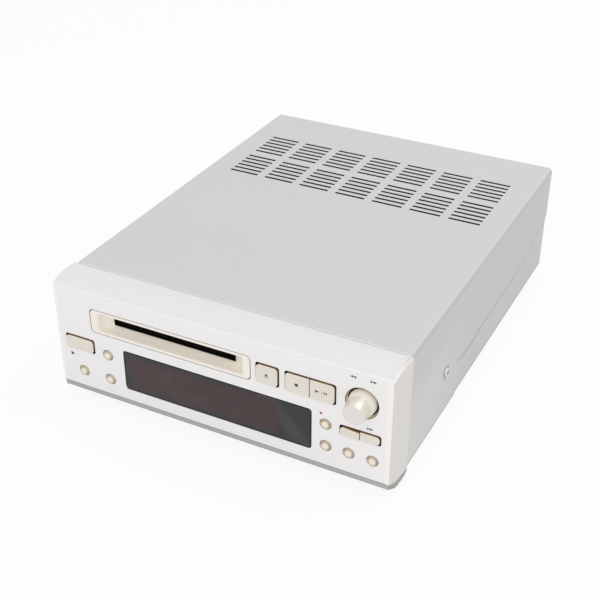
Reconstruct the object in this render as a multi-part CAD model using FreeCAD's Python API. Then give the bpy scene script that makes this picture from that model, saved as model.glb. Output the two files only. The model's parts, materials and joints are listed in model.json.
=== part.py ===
import FreeCAD, Part

import math
import os

# Slot-loading minidisc deck for a stack of small hi-fi components, in millimetres.
#
# Frame: +X to the right, +Y to the back, +Z up, with the origin on the floor under
# the middle of the whole object. Depths are measured backwards from the flat front
# face of the fascia, and depth() turns one into a Y coordinate.

# ---------------------------------------------------------------- cabinet
WIDTH = 205.0
COVER_TOP = 78.0
FOOT_HEIGHT = 6.0
BODY_DEPTH = 267.0
KNOB_REACH = 11.0
JACK_REACH = 8.0
SHEET = 1.0
COVER_BEND = 2.5
SEAM_GAP = 0.3
SIDE_GAP = 0.2
JOGGLE = 0.5
JOGGLE_SLOPE = 1.6
CHASSIS_SIDE = 34.0
CHASSIS_BEND = 1.8
BEND_GAP = 0.1

# ---------------------------------------------------------------- fascia
FASCIA_DEPTH = 22.3
FASCIA_WALL = 2.5
CAP_WIDTH = 3.0
CAP_EDGE = 1.6
CAP_FLARE = 0.9
FACE_BOTTOM = FOOT_HEIGHT + 5.0
FACE_TOP = COVER_TOP - 1.9
BAND_REAR = COVER_TOP - 0.4
BAND_BULGE = 1.86
LIP_REAR = FOOT_HEIGHT - 2.9
LIP_BULGE = 4.4
HOLE_GAP = 0.3

# ---------------------------------------------------------------- disc cartridge and slot
CARTRIDGE_WIDTH = 72.0
CARTRIDGE_DEPTH = 68.0
CARTRIDGE_HEIGHT = 5.0
SLOT_Z = COVER_TOP - 19.4
SLOT_SIDE_PLAY = 2.4
SLOT_HEIGHT = 6.0
SLOT_DEPTH = 6.0
BEZEL_WIDTH = 101.3
BEZEL_HEIGHT = 15.4
BEZEL_CORNER = 2.8
BEZEL_RIM = 4.5
BEZEL_PROUD = 0.4

# ---------------------------------------------------------------- display and boards
DISPLAY_WIDTH = 116.4
DISPLAY_HEIGHT = 26.0
DISPLAY_CORNER = 2.0
WINDOW_THICK = 2.2
BOARD_THICK = 1.6
FRONT_BOARD_DEPTH = 10.0
TUBE_WIDTH = 101.0
TUBE_HEIGHT = 20.4
TUBE_THICK = 3.6
TUBE_SEAT = 1.2

# ---------------------------------------------------------------- controls
BUTTON_PROUD = 1.4
BUTTON_TRAVEL = 0.8
BUTTON_FLANGE = 1.0
BUTTON_SKIN = 1.2
KEY_CORNER = 1.2
ROUND_BUTTON_RADIUS = 3.1
SWITCH_SIDE = 6.0
SWITCH_HEIGHT = 3.1
PLUNGER_HEIGHT = 0.7
PLUNGER_RADIUS = 1.6
PRESS_GAP = 0.15
KEY_SPLIT = 0.4
EJECT_WIDTH = 13.2
PLAY_PAIR_WIDTH = 28.6
PLAY_KEY_HEIGHT = 12.0
SLIM_PAIR_WIDTH = 22.6
SLIM_KEY_HEIGHT = 5.9
STANDBY_WIDTH = 19.0
STANDBY_HEIGHT = 8.8

KNOB_BASE_RADIUS = 7.6
KNOB_FACE_RADIUS = 5.7
DISH_RADIUS = 9.25
DISH_WALL = 0.8
DISH_DEPTH = 3.2
KNOB_TRAVEL = 0.5
SHAFT_RADIUS = 3.0
RUNNING_GAP = 0.05

# ---------------------------------------------------------------- vents
VENT_COLUMNS = 7
VENT_COLUMN_PITCH = 25.4
VENT_LENGTH = 20.1
VENT_WIDTH = 2.1
VENT_SLOTS = 6
VENT_PITCH = 4.95
VENT_ROW_GAP = 9.2
VENT_FRONT = 169.2

# ---------------------------------------------------------------- disc mechanism
MECH_PLATE = 1.2
HOLDER_SHEET = 0.8
HOLDER_DROP = 4.5
SLIDER_TRAVEL = 12.0
SLED_TRAVEL = 13.0
PIN_RADIUS = 1.0
RAIL_RADIUS = 1.25
GEAR_MODULE = 0.6
MOTOR_TEETH = 10
WHEEL_TEETH = 30
OUTPUT_TEETH = 12
TOOTH_BACKLASH = 0.12
PRESSURE_ANGLE = math.radians(20.0)

SPINDLE_RADIUS = 9.6
FEED_MOTOR_LENGTH = 12.0

# ---------------------------------------------------------------- electronics
MAIN_BOARD_LIFT = 7.0
BOARD_MARGIN = 4.0
BOARD_TO_MECH = 14.0
WING_TO_MOTOR = 10.6
WING_TO_FASCIA = 19.7
POST_MARGIN = 8.0
JACK_RADIUS = 4.15
JACK_PITCH_X = 18.0
JACK_PITCH_Z = 14.0
OPTICAL_SIDE = 10.0
OPTICAL_PITCH = 13.0
INLET_WIDTH = 24.0
INLET_HEIGHT = 15.0
CORE_WIDTH = 46.0
CORE_THICK = 32.0
CORE_HEIGHT = 60.0
CORE_LEG = 15.0
CORE_TAB = 3.0
CORE_MARGIN = 4.0
PANEL_FLANGE = 6.0
RIBBON_WIDTH = 24.0
RIBBON_THICK = 0.5

# ---------------------------------------------------------------- places worked out from them
FACE_Y = KNOB_REACH - (KNOB_REACH + BODY_DEPTH + JACK_REACH) / 2
HALF_WIDTH = WIDTH / 2
INSIDE_HALF = HALF_WIDTH - SHEET - JOGGLE - SIDE_GAP
WALL_INSIDE = INSIDE_HALF - SHEET
CLEAR_OF_BEND = WALL_INSIDE - (CHASSIS_BEND - SHEET) - BEND_GAP
FLOOR_TOP = FOOT_HEIGHT + SHEET
COVER_UNDER = COVER_TOP - SHEET
WALL_BACK = FASCIA_WALL
SWITCH_FACE = FRONT_BOARD_DEPTH - SWITCH_HEIGHT
PLUNGER_FACE = SWITCH_FACE - PLUNGER_HEIGHT
STEM_END = PLUNGER_FACE - BUTTON_TRAVEL - PRESS_GAP
BRACKET_DEPTH = FASCIA_DEPTH - 3.3
BOARD_TOP = FLOOR_TOP + MAIN_BOARD_LIFT + BOARD_THICK
REAR_PANEL_DEPTH = BODY_DEPTH - 2.2

# The top row of the face: slot bezel, eject key, stop and play keys, knob. The room
# that they leave is shared between the margins and the gaps, in these parts.
ROW_WIDTHS = (BEZEL_WIDTH, EJECT_WIDTH, PLAY_PAIR_WIDTH, 2 * DISH_RADIUS)
ROW_SHARES = (24.0, 3.2, 3.7, 5.1, 7.4)
ROW_ROOM = (WIDTH - sum(ROW_WIDTHS)) / sum(ROW_SHARES)


def row_centre(index):
    """X of the middle of one member of the face's top row."""
    before = sum(ROW_WIDTHS[:index]) + ROW_ROOM * sum(ROW_SHARES[:index + 1])
    return before + ROW_WIDTHS[index] / 2 - HALF_WIDTH


SLOT_X = row_centre(0)
EJECT_X = row_centre(1)
PLAY_X = row_centre(2)
KNOB_X = row_centre(3)
KNOB_Z = SLOT_Z - 0.6
KEY_ROW_Z = SLOT_Z - 0.6

# Below the slot the display is in the middle, with a field of keys on each side.
LOWER_FIELD = SLOT_Z - BEZEL_HEIGHT / 2 - FACE_BOTTOM
SIDE_FIELD = HALF_WIDTH - DISPLAY_WIDTH / 2
DISPLAY_Z = FACE_BOTTOM + 0.52 * LOWER_FIELD


def left_place(across, up):
    """X and Z of a point at two shares of the field to the left of the display."""
    return -HALF_WIDTH + across * SIDE_FIELD, FACE_BOTTOM + up * LOWER_FIELD


def right_place(across, up):
    """X and Z of a point at two shares of the field to the right of the display."""
    return DISPLAY_WIDTH / 2 + across * SIDE_FIELD, FACE_BOTTOM + up * LOWER_FIELD


STANDBY_AT = left_place(0.348, 0.74)
LENS_AT = left_place(0.207, 0.525)
SLIM_AT = right_place(0.617, 0.672)
ROUND_BUTTONS = {
    "input_button": left_place(0.763, 0.678),
    "level_button": left_place(0.359, 0.278),
    "mode_button": left_place(0.767, 0.271),
    "record_button": right_place(0.178, 0.678),
    "display_button": right_place(0.183, 0.329),
    "edit_button": right_place(0.479, 0.327),
    "enter_button": right_place(0.781, 0.322),
}


def pair_keys(centre_x, centre_z, width, height):
    """Two keys that share one hole: (x, z, width, height) of the left and the right one."""
    key_width = (width - KEY_SPLIT) / 2
    shift = (key_width + KEY_SPLIT) / 2
    return [(centre_x + side * shift, centre_z, key_width, height) for side in (-1, 1)]


STOP_KEY, PLAY_KEY = pair_keys(PLAY_X, KEY_ROW_Z, PLAY_PAIR_WIDTH, PLAY_KEY_HEIGHT)
BACK_KEY, FORWARD_KEY = pair_keys(*SLIM_AT, SLIM_PAIR_WIDTH, SLIM_KEY_HEIGHT)
KEYS = {
    "standby_button": (*STANDBY_AT, STANDBY_WIDTH, STANDBY_HEIGHT),
    "eject_button": (EJECT_X, KEY_ROW_Z, EJECT_WIDTH, PLAY_KEY_HEIGHT),
    "stop_button": STOP_KEY,
    "play_button": PLAY_KEY,
    "search_back_button": BACK_KEY,
    "search_forward_button": FORWARD_KEY,
}
KEY_HOLES = (
    KEYS["standby_button"],
    KEYS["eject_button"],
    (PLAY_X, KEY_ROW_Z, PLAY_PAIR_WIDTH, PLAY_KEY_HEIGHT),
    (*SLIM_AT, SLIM_PAIR_WIDTH, SLIM_KEY_HEIGHT),
)
SWITCH_PLACES = [(x, z) for x, z, _, _ in KEYS.values()] + list(ROUND_BUTTONS.values())

# Bosses behind the fascia that carry the control board, as (x, z).
BOSS_PLACES = (
    (STANDBY_AT[0] - 2.0, SLOT_Z + 4.0),
    (PLAY_X, SLOT_Z + 11.2),
    (left_place(0.28, 0.0)[0], FACE_BOTTOM + 3.2),
    (right_place(0.63, 0.0)[0], FACE_BOTTOM + 3.2),
)
BOSS_RADIUS = 2.6
BOSS_PIN_RADIUS = 1.5

# The mechanism is centred on the slot, and its disc lies in the middle of the holder.
MECH_X = SLOT_X
HOLDER_FRONT = FASCIA_DEPTH + 1.7
HOLDER_BACK = HOLDER_FRONT + CARTRIDGE_DEPTH + 1.0
DISC_DEPTH = HOLDER_FRONT + CARTRIDGE_DEPTH / 2
HOLDER_HALF = CARTRIDGE_WIDTH / 2 + 0.3
HOLDER_LOW = SLOT_Z - CARTRIDGE_HEIGHT / 2 - 0.3
HOLDER_HIGH = SLOT_Z + CARTRIDGE_HEIGHT / 2 + 0.3
FRAME_HALF = HOLDER_HALF + HOLDER_SHEET + 0.9
FRAME_FRONT = FASCIA_DEPTH - 0.3
FRAME_BACK = HOLDER_BACK + 5.0
PLATE_TOP = SLOT_Z - 11.4
PLATE_UNDER = PLATE_TOP - MECH_PLATE
WALL_TOP = SLOT_Z + 5.4
SLIDER_FACE = FRAME_HALF + MECH_PLATE + 0.4
HOLDER_PINS = (HOLDER_FRONT + 16.0, HOLDER_BACK - 17.0)
RACK_Z = SLOT_Z - 7.6
OUTPUT_RADIUS = GEAR_MODULE * OUTPUT_TEETH / 2
WHEEL_RADIUS = GEAR_MODULE * WHEEL_TEETH / 2
MOTOR_PINION_RADIUS = GEAR_MODULE * MOTOR_TEETH / 2
WHEEL_DEPTH = DISC_DEPTH - 3.0
WHEEL_Z = RACK_Z - OUTPUT_RADIUS
GEAR_CENTRES = WHEEL_RADIUS + MOTOR_PINION_RADIUS
MOTOR_BELOW = 8.0
MOTOR_DEPTH = WHEEL_DEPTH + math.sqrt(GEAR_CENTRES ** 2 - MOTOR_BELOW ** 2)
MOTOR_Z = WHEEL_Z - MOTOR_BELOW
MOTOR_RADIUS = 5.8
RAIL_Z = PLATE_UNDER - 2.2
RAIL_SPREAD = 10.0
SLED_X = MECH_X + 17.5
SLED_HALF = 6.0
SCREW_DEPTH = DISC_DEPTH + 15.5
SCREW_RADIUS = 1.2
LUG_X = SLED_X - SLED_HALF - 2.8
LUG_THICK = 2.0
NOTCH_HALF = 7.0
ARM_REACH = 22.2
ARM_Z = SLOT_Z + 9.4
STAND_TOP = PLATE_UNDER - 6.0
BRIDGE_HALF = FRAME_HALF - 4.0
DAMPER_PLACES = [(MECH_X + side * (BRIDGE_HALF - 4.0), at) for side in (-1, 1)
                 for at in (FRAME_FRONT + 7.0, FRAME_BACK - 5.0)]

# Behind the mechanism the transformer stands at the left wall, and the main board
# takes the rest of the floor, with a wing towards the front beside the mechanism.
YOKE = CORE_LEG / 2
WINDING_GAP = 0.2
WINDING_HALF_DEPTH = CORE_WIDTH / 2 - YOKE - WINDING_GAP
WINDING_HALF_WIDTH = CORE_THICK / 2 + WINDING_HALF_DEPTH - CORE_LEG / 2
TRANSFORMER_X = CORE_MARGIN + WINDING_HALF_WIDTH - WALL_INSIDE
TRANSFORMER_DEPTH = REAR_PANEL_DEPTH - PANEL_FLANGE - 1.0 - CORE_TAB - CORE_WIDTH / 2
BOARD_LEFT = TRANSFORMER_X + WINDING_HALF_WIDTH + 1.5 * BOARD_MARGIN
BOARD_RIGHT = WALL_INSIDE - BOARD_MARGIN
BOARD_FRONT = FRAME_BACK + BOARD_TO_MECH
BOARD_REAR = REAR_PANEL_DEPTH - BOARD_MARGIN / 2
WING_LEFT = MECH_X + FRAME_HALF + MECH_PLATE + FEED_MOTOR_LENGTH + WING_TO_MOTOR
WING_FRONT = FASCIA_DEPTH + WING_TO_FASCIA
RIBBON_SPAN = (WING_LEFT + BOARD_MARGIN, WING_LEFT + BOARD_MARGIN + RIBBON_WIDTH)
RIBBON_START_Z = FLOOR_TOP + 23.0
POST_PLACES = (
    (BOARD_LEFT + POST_MARGIN, BOARD_FRONT + POST_MARGIN),
    (BOARD_RIGHT - POST_MARGIN, BOARD_FRONT + POST_MARGIN),
    (BOARD_LEFT + POST_MARGIN, BOARD_REAR - 3 * POST_MARGIN),
    (BOARD_RIGHT - POST_MARGIN, BOARD_REAR - 8 * POST_MARGIN),
)


def board_place(across, along):
    """X and depth of a point at two shares of the main board's rear part."""
    return (BOARD_LEFT + across * (BOARD_RIGHT - BOARD_LEFT),
            BOARD_FRONT + along * (BOARD_REAR - BOARD_FRONT))


# Rear sockets, as x and z of each group's middle.
JACK_AT = (WALL_INSIDE - 38.0, FLOOR_TOP + 31.0)
OPTICAL_AT = (JACK_AT[0] - 40.0, FLOOR_TOP + 23.0)
INLET_AT = (BOARD_LEFT + 20.0, FLOOR_TOP + 20.0)

FOOT_PLACES = [(side * (HALF_WIDTH - 21.0), at) for side in (-1, 1)
               for at in (FASCIA_DEPTH + 16.0, BODY_DEPTH - 27.0)]

# The cover's fixing screws, as depth and z in the sides and as x and z in the rear lip.
SCREW_AT = (FASCIA_DEPTH + 55.4, FOOT_HEIGHT + 27.0)
LIP_DROP = 9.0
LIP_SCREW_AT = (HALF_WIDTH - 40.5, COVER_TOP - LIP_DROP / 2 - SHEET / 2)
SHANK_RADIUS = 1.45
SCREW_PLAY = 0.25
HEAD_RADIUS = 2.9
HEAD_HEIGHT = 1.5
DIMPLE_RADIUS = 4.6
DIMPLE_DEPTH = 0.35


# ---------------------------------------------------------------- drawing helpers
def depth(value):
    """Y coordinate of a depth behind the fascia's front face."""
    return FACE_Y + value


def block(x0, x1, d0, d1, z0, z1):
    """A box between two values of x, depth and z."""
    corner = FreeCAD.Vector(x0, depth(d0), z0)
    return Part.makeBox(x1 - x0, d1 - d0, z1 - z0, corner)


def rod_x(x0, x1, at_depth, z, radius):
    """A cylinder that lies across the deck."""
    base = FreeCAD.Vector(x0, depth(at_depth), z)
    return Part.makeCylinder(radius, x1 - x0, base, FreeCAD.Vector(1, 0, 0))


def rod_y(d0, d1, x, z, radius):
    """A cylinder that points backwards."""
    base = FreeCAD.Vector(x, depth(d0), z)
    return Part.makeCylinder(radius, d1 - d0, base, FreeCAD.Vector(0, 1, 0))


def rod_z(z0, z1, x, at_depth, radius):
    """An upright cylinder."""
    base = FreeCAD.Vector(x, depth(at_depth), z0)
    return Part.makeCylinder(radius, z1 - z0, base, FreeCAD.Vector(0, 0, 1))


def rounded_wire(x, z, width, height, corner, at_depth):
    """A rectangle with round corners that faces the front, as a closed wire."""
    y = depth(at_depth)
    edges = []
    half_x = width / 2
    half_z = height / 2
    for sx, sz, start in ((1, 1, 0), (-1, 1, 90), (-1, -1, 180), (1, -1, 270)):
        centre = FreeCAD.Vector(x + sx * (half_x - corner), y, z + sz * (half_z - corner))
        spots = []
        for step in (0, 45, 90):
            angle = math.radians(start + step)
            reach = FreeCAD.Vector(math.cos(angle), 0, math.sin(angle)) * corner
            spots.append(centre + reach)
        if edges:
            edges.append(Part.LineSegment(last, spots[0]).toShape())
        else:
            first = spots[0]
        edges.append(Part.Arc(*spots).toShape())
        last = spots[2]
    edges.append(Part.LineSegment(last, first).toShape())
    return Part.Wire(edges)


def rounded_slab(x, z, width, height, corner, d0, d1):
    """A rectangle with round corners, between two depths."""
    face = Part.Face(rounded_wire(x, z, width, height, corner, d0))
    return face.extrude(FreeCAD.Vector(0, d1 - d0, 0))


def turned(points, x, z):
    """A solid of revolution about an axis that points backwards: (depth, radius) points."""
    path = [FreeCAD.Vector(x + radius, depth(at), z) for at, radius in points]
    face = Part.Face(Part.makePolygon(path + path[:1]))
    return face.revolve(FreeCAD.Vector(x, 0, z), FreeCAD.Vector(0, 1, 0), 360)


def turned_upright(points, x, at_depth):
    """A solid of revolution about an upright axis: (z, radius) points."""
    y = depth(at_depth)
    path = [FreeCAD.Vector(x + radius, y, z) for z, radius in points]
    face = Part.Face(Part.makePolygon(path + path[:1]))
    return face.revolve(FreeCAD.Vector(x, y, 0), FreeCAD.Vector(0, 0, 1), 360)


def side_plate(points, x0, x1):
    """A plate that stands lengthwise: (depth, z) points, between two values of x."""
    path = [FreeCAD.Vector(x0, depth(at), z) for at, z in points]
    face = Part.Face(Part.makePolygon(path + path[:1]))
    return face.extrude(FreeCAD.Vector(x1 - x0, 0, 0))


def slanted_slot(start, end, half_width, x0, x1):
    """The cutter of a slot with round ends between two (depth, z) points."""
    run = math.hypot(end[0] - start[0], end[1] - start[1])
    across = (-(end[1] - start[1]) / run * half_width, (end[0] - start[0]) / run * half_width)
    corners = [(start[0] + across[0], start[1] + across[1]),
               (end[0] + across[0], end[1] + across[1]),
               (end[0] - across[0], end[1] - across[1]),
               (start[0] - across[0], start[1] - across[1])]
    ends = [rod_x(x0, x1, at, z, half_width) for at, z in (start, end)]
    return side_plate(corners, x0, x1).multiFuse(ends).removeSplitter()


def involute_angle(radius, base_radius):
    """Angle that the involute of a base circle has turned through at a radius."""
    if radius <= base_radius:
        return 0.0
    pressure = math.acos(base_radius / radius)
    return math.tan(pressure) - pressure


def spur_gear(teeth, at_depth, z, x0, x1, first_tooth):
    """A gear with involute teeth that turns about an axis across the deck."""
    pitch_radius = GEAR_MODULE * teeth / 2
    base_radius = pitch_radius * math.cos(PRESSURE_ANGLE)
    tip_radius = pitch_radius + GEAR_MODULE
    root_radius = pitch_radius - 1.25 * GEAR_MODULE
    thickness = math.pi * GEAR_MODULE / 2 - TOOTH_BACKLASH
    half_at_pitch = thickness / 2 / pitch_radius
    flank = []
    for radius in (root_radius, max(base_radius, root_radius), pitch_radius, tip_radius):
        turn = involute_angle(radius, base_radius) - involute_angle(pitch_radius, base_radius)
        flank.append((radius, half_at_pitch - turn))
    points = []
    for tooth in range(teeth):
        middle = first_tooth + 2 * math.pi * tooth / teeth
        rising = [(radius, middle - half) for radius, half in flank]
        falling = [(radius, middle + half) for radius, half in reversed(flank)]
        points += rising + falling
    outline = [(at_depth + radius * math.cos(angle), z + radius * math.sin(angle))
               for radius, angle in points]
    return side_plate(outline, x0, x1)


def bent_strip(points, bend, x0, x1, thickness):
    """A flat strip across x0 to x1 that follows (depth, z) points, with round bends."""
    path = [FreeCAD.Vector(x0, depth(at), z) for at, z in points]
    edges = []
    start = path[0]
    for before, corner, after in zip(path, path[1:], path[2:]):
        way_in = (corner - before).normalize()
        way_out = (after - corner).normalize()
        half_turn = way_in.getAngle(way_out) / 2
        tangent = bend * math.tan(half_turn)
        enter = corner - way_in * tangent
        leave = corner + way_out * tangent
        inward = (way_out - way_in).normalize()
        middle = corner + inward * (bend / math.cos(half_turn) - bend)
        edges.append(Part.LineSegment(start, enter).toShape())
        edges.append(Part.Arc(enter, middle, leave).toShape())
        start = leave
    edges.append(Part.LineSegment(start, path[-1]).toShape())
    first_run = (path[1] - path[0]).normalize()
    side = FreeCAD.Vector(0, -first_run.z, first_run.y) * (thickness / 2)
    width = FreeCAD.Vector(x1 - x0, 0, 0)
    corners = [path[0] + side, path[0] - side, path[0] - side + width, path[0] + side + width]
    section = Part.makePolygon(corners + corners[:1])
    return Part.Wire(edges).makePipeShell([section], True, True)


def slot_row(x0, x1, d_first, pitch, count, width, z0, z1):
    """Cutters for a row of slots across the deck, one behind the other."""
    return [block(x0, x1, d_first + i * pitch - width / 2, d_first + i * pitch + width / 2, z0, z1)
            for i in range(count)]


# ---------------------------------------------------------------- fascia and its trim
def fascia_outline(rear, inset):
    """Closed section of the fascia: flat face, crowned top band and swept-back lip.

    Each curve is the arc through its ends and its bulge, run on to the given depth,
    and the inset moves the whole outline inwards.
    """
    def arc_circle(start, end, bulge):
        run = math.hypot(end[0] - start[0], end[1] - start[1])
        radius = run ** 2 / (8 * abs(bulge)) + abs(bulge) / 2
        normal = (-(end[1] - start[1]) / run, (end[0] - start[0]) / run)
        back = (bulge - math.copysign(radius, bulge))
        middle = ((start[0] + end[0]) / 2, (start[1] + end[1]) / 2)
        return middle[0] + normal[0] * back, middle[1] + normal[1] * back, radius

    def point_on(circle, at, side):
        centre_d, centre_z, radius = circle
        shrunk = radius - inset
        return FreeCAD.Vector(0, depth(at), centre_z + side * math.sqrt(shrunk ** 2 - (at - centre_d) ** 2))

    band = arc_circle((0.0, FACE_TOP), (FASCIA_DEPTH, BAND_REAR), BAND_BULGE)
    lip = arc_circle((0.0, FACE_BOTTOM), (FASCIA_DEPTH, LIP_REAR), -LIP_BULGE)
    half_way = (inset + rear) / 2
    top = [point_on(band, at, 1) for at in (inset, half_way, rear)]
    low = [point_on(lip, at, -1) for at in (rear, half_way, inset)]
    edges = [
        Part.LineSegment(low[2], top[0]).toShape(),
        Part.Arc(*top).toShape(),
        Part.LineSegment(top[2], low[0]).toShape(),
        Part.Arc(*low).toShape(),
    ]
    return Part.Face(Part.Wire(edges))


def fascia_prism(x0, x1, rear, inset):
    """The fascia's section, run across the deck."""
    face = fascia_outline(rear, inset)
    face.translate(FreeCAD.Vector(x0, 0, 0))
    return face.extrude(FreeCAD.Vector(x1 - x0, 0, 0))


def fascia_panel():
    """Moulded front: a shell that is open behind, with every hole and its board bosses."""
    end = HALF_WIDTH - CAP_WIDTH
    past = 1.0
    shell = fascia_prism(-end, end, FASCIA_DEPTH, 0.0)
    inside = fascia_prism(-end - past, end + past, FASCIA_DEPTH + past, FASCIA_WALL)
    panel = shell.cut(inside)
    bosses = []
    for x, z in BOSS_PLACES:
        bosses.append(rod_y(WALL_BACK - 0.2, FRONT_BOARD_DEPTH, x, z, BOSS_RADIUS))
        bosses.append(rod_y(FRONT_BOARD_DEPTH - 0.2, BRACKET_DEPTH, x, z, BOSS_PIN_RADIUS))
    panel = panel.multiFuse(bosses)
    d0 = -past
    d1 = WALL_BACK + past
    gap = 2 * HOLE_GAP
    cutters = [rounded_slab(x, z, width + gap, height + gap, KEY_CORNER + HOLE_GAP, d0, d1)
               for x, z, width, height in KEY_HOLES]
    cutters += [rod_y(d0, d1, x, z, ROUND_BUTTON_RADIUS + HOLE_GAP) for x, z in ROUND_BUTTONS.values()]
    cutters.append(rod_y(d0, d1, KNOB_X, KNOB_Z, DISH_RADIUS + RUNNING_GAP))
    cutters.append(rounded_slab(0, DISPLAY_Z, DISPLAY_WIDTH, DISPLAY_HEIGHT, DISPLAY_CORNER, d0, d1))
    cutters.append(rounded_slab(SLOT_X, SLOT_Z, BEZEL_WIDTH, BEZEL_HEIGHT, BEZEL_CORNER, d0, d1))
    cutters.append(lens_prism(RUNNING_GAP, d0, d1))
    return panel.cut(Part.makeCompound(cutters)).removeSplitter()


def end_cap(side):
    """End moulding with the fascia's section, a flared side, a soft edge and a locating tongue."""
    end = HALF_WIDTH - CAP_WIDTH
    lean = CAP_FLARE / FASCIA_DEPTH
    corners = [FreeCAD.Vector(x, depth(at), 0) for x, at in (
        (end, 0.0), (HALF_WIDTH, 0.0), (HALF_WIDTH + CAP_FLARE, FASCIA_DEPTH), (end, FASCIA_DEPTH))]
    plan = Part.Face(Part.makePolygon(corners + corners[:1]))
    room = plan.extrude(FreeCAD.Vector(0, 0, COVER_TOP + CAP_WIDTH))
    plate = fascia_prism(end, HALF_WIDTH + 2 * CAP_FLARE, FASCIA_DEPTH, 0.0).common(room)
    outer = [edge for edge in plate.Edges
             if all(abs(v.X - HALF_WIDTH - lean * (v.Y - depth(0.0))) < 1e-6 for v in edge.Vertexes)
             and not all(abs(v.Y - depth(FASCIA_DEPTH)) < 1e-6 for v in edge.Vertexes)]
    plate = plate.makeFillet(CAP_EDGE, outer)
    tongue_reach = 2.2
    tongue_wall = 1.2
    tongue_back = FASCIA_DEPTH - 4.0
    tongue = fascia_prism(end - tongue_reach, end, tongue_back, FASCIA_WALL + HOLE_GAP)
    hollow = fascia_prism(end - 2 * tongue_reach, end, FASCIA_DEPTH, FASCIA_WALL + HOLE_GAP + tongue_wall)
    cap = plate.fuse(tongue.cut(hollow)).removeSplitter()
    if side < 0:
        cap = cap.mirror(FreeCAD.Vector(0, 0, 0), FreeCAD.Vector(1, 0, 0))
    return cap


def lens_prism(clearance, d0, d1):
    """Three-sided prism that points to the right, for the standby lens and its hole."""
    x, z = LENS_AT
    size = 1.3 + clearance
    corners = [FreeCAD.Vector(x - size, depth(d0), z - size), FreeCAD.Vector(x + size, depth(d0), z),
               FreeCAD.Vector(x - size, depth(d0), z + size)]
    face = Part.Face(Part.makePolygon(corners + corners[:1]))
    return face.extrude(FreeCAD.Vector(0, d1 - d0, 0))


def standby_lens():
    """Light guide of the standby lamp, with a foot behind the fascia."""
    x, z = LENS_AT
    foot = rod_y(WALL_BACK, FRONT_BOARD_DEPTH - 0.3, x, z, 2.2)
    return lens_prism(0.0, 0.1, WALL_BACK).fuse(foot)


def slot_bezel():
    """Surround of the slot: funnel in front, chamber for the dust flap behind."""
    slot_width = CARTRIDGE_WIDTH + 2 * SLOT_SIDE_PLAY
    flange = 1.5
    back = SLOT_DEPTH + 2.5
    fit = RUNNING_GAP
    body = rounded_slab(SLOT_X, SLOT_Z, BEZEL_WIDTH - 2 * fit, BEZEL_HEIGHT - 2 * fit, BEZEL_CORNER,
                        -BEZEL_PROUD, back)
    front_edges = [edge for edge in body.Edges
                   if all(abs(v.Y - depth(-BEZEL_PROUD)) < 1e-6 for v in edge.Vertexes)]
    body = body.makeFillet(BEZEL_PROUD * 0.75, front_edges)
    rim = rounded_slab(SLOT_X, SLOT_Z, BEZEL_WIDTH + 2 * flange, BEZEL_HEIGHT + 2 * flange,
                       BEZEL_CORNER + flange, WALL_BACK, WALL_BACK + flange)
    room_x0, room_x1, room_back, room_z0, room_z1 = flap_room()
    tunnel = block(room_x0 - 1.8, room_x1 + 1.8, back, room_back, room_z0 - 1.4, room_z1 + 1.4)
    body = body.multiFuse([rim, tunnel])
    mouth = rounded_wire(SLOT_X, SLOT_Z, BEZEL_WIDTH - 2 * BEZEL_RIM, BEZEL_HEIGHT - 3.9, 0.6, -BEZEL_PROUD)
    throat = rounded_wire(SLOT_X, SLOT_Z, slot_width, SLOT_HEIGHT, 0.3, SLOT_DEPTH)
    funnel = Part.makeLoft([mouth, throat], True, True)
    passage = block(SLOT_X - slot_width / 2, SLOT_X + slot_width / 2, SLOT_DEPTH, SLOT_DEPTH + 1.1,
                    SLOT_Z - SLOT_HEIGHT / 2, SLOT_Z + SLOT_HEIGHT / 2)
    chamber = block(room_x0, room_x1, SLOT_DEPTH + 1, room_back + 1, room_z0, room_z1)
    axis_depth, axis_z, pin = flap_axis()
    pivots = rod_x(room_x0 - 3, room_x1 + 3, axis_depth, axis_z, pin + RUNNING_GAP)
    return body.cut(Part.makeCompound([funnel])).cut(passage.multiFuse([chamber, pivots]))


def flap_room():
    """The dust flap's chamber: low and high x, rear depth, low and high z."""
    half = CARTRIDGE_WIDTH / 2 + SLOT_SIDE_PLAY + 0.8
    return SLOT_X - half, SLOT_X + half, BRACKET_DEPTH - 1.0, SLOT_Z - 3.4, SLOT_Z + 6.2


def flap_axis():
    """Depth, height and radius of the dust flap's hinge pins."""
    return SLOT_DEPTH + 2.2, SLOT_Z + 4.7, 0.8


def slot_flap():
    """Dust flap that hangs behind the slot and swings inwards from its top edge."""
    axis_depth, axis_z, pin = flap_axis()
    room_x0, room_x1, _, room_z0, _ = flap_room()
    side_gap = 0.3
    thick = 1.0
    front = SLOT_DEPTH + 1.15
    plate = block(room_x0 + side_gap, room_x1 - side_gap, front, front + thick, room_z0 + side_gap, axis_z)
    hub = rod_x(room_x0 + side_gap, room_x1 - side_gap, axis_depth, axis_z, axis_depth - front)
    pins = rod_x(room_x0 - 1.5, room_x1 + 1.5, axis_depth, axis_z, pin)
    rib = block(room_x0 + 4, room_x1 - 4, front + thick, front + thick + 0.8, room_z0 + 1.6, room_z0 + 2.6)
    return plate.multiFuse([hub, pins, rib]).removeSplitter()


def display_window():
    """Smoked window, flush in its opening, with a flange behind the fascia."""
    flange = 1.2
    fit = RUNNING_GAP
    pane = rounded_slab(0, DISPLAY_Z, DISPLAY_WIDTH - 2 * fit, DISPLAY_HEIGHT - 2 * fit, DISPLAY_CORNER,
                        WALL_BACK - WINDOW_THICK, WALL_BACK)
    rim = rounded_slab(0, DISPLAY_Z, DISPLAY_WIDTH + 2 * flange, DISPLAY_HEIGHT + 2 * flange,
                       DISPLAY_CORNER + flange, WALL_BACK, WALL_BACK + flange)
    return pane.fuse(rim)


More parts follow.
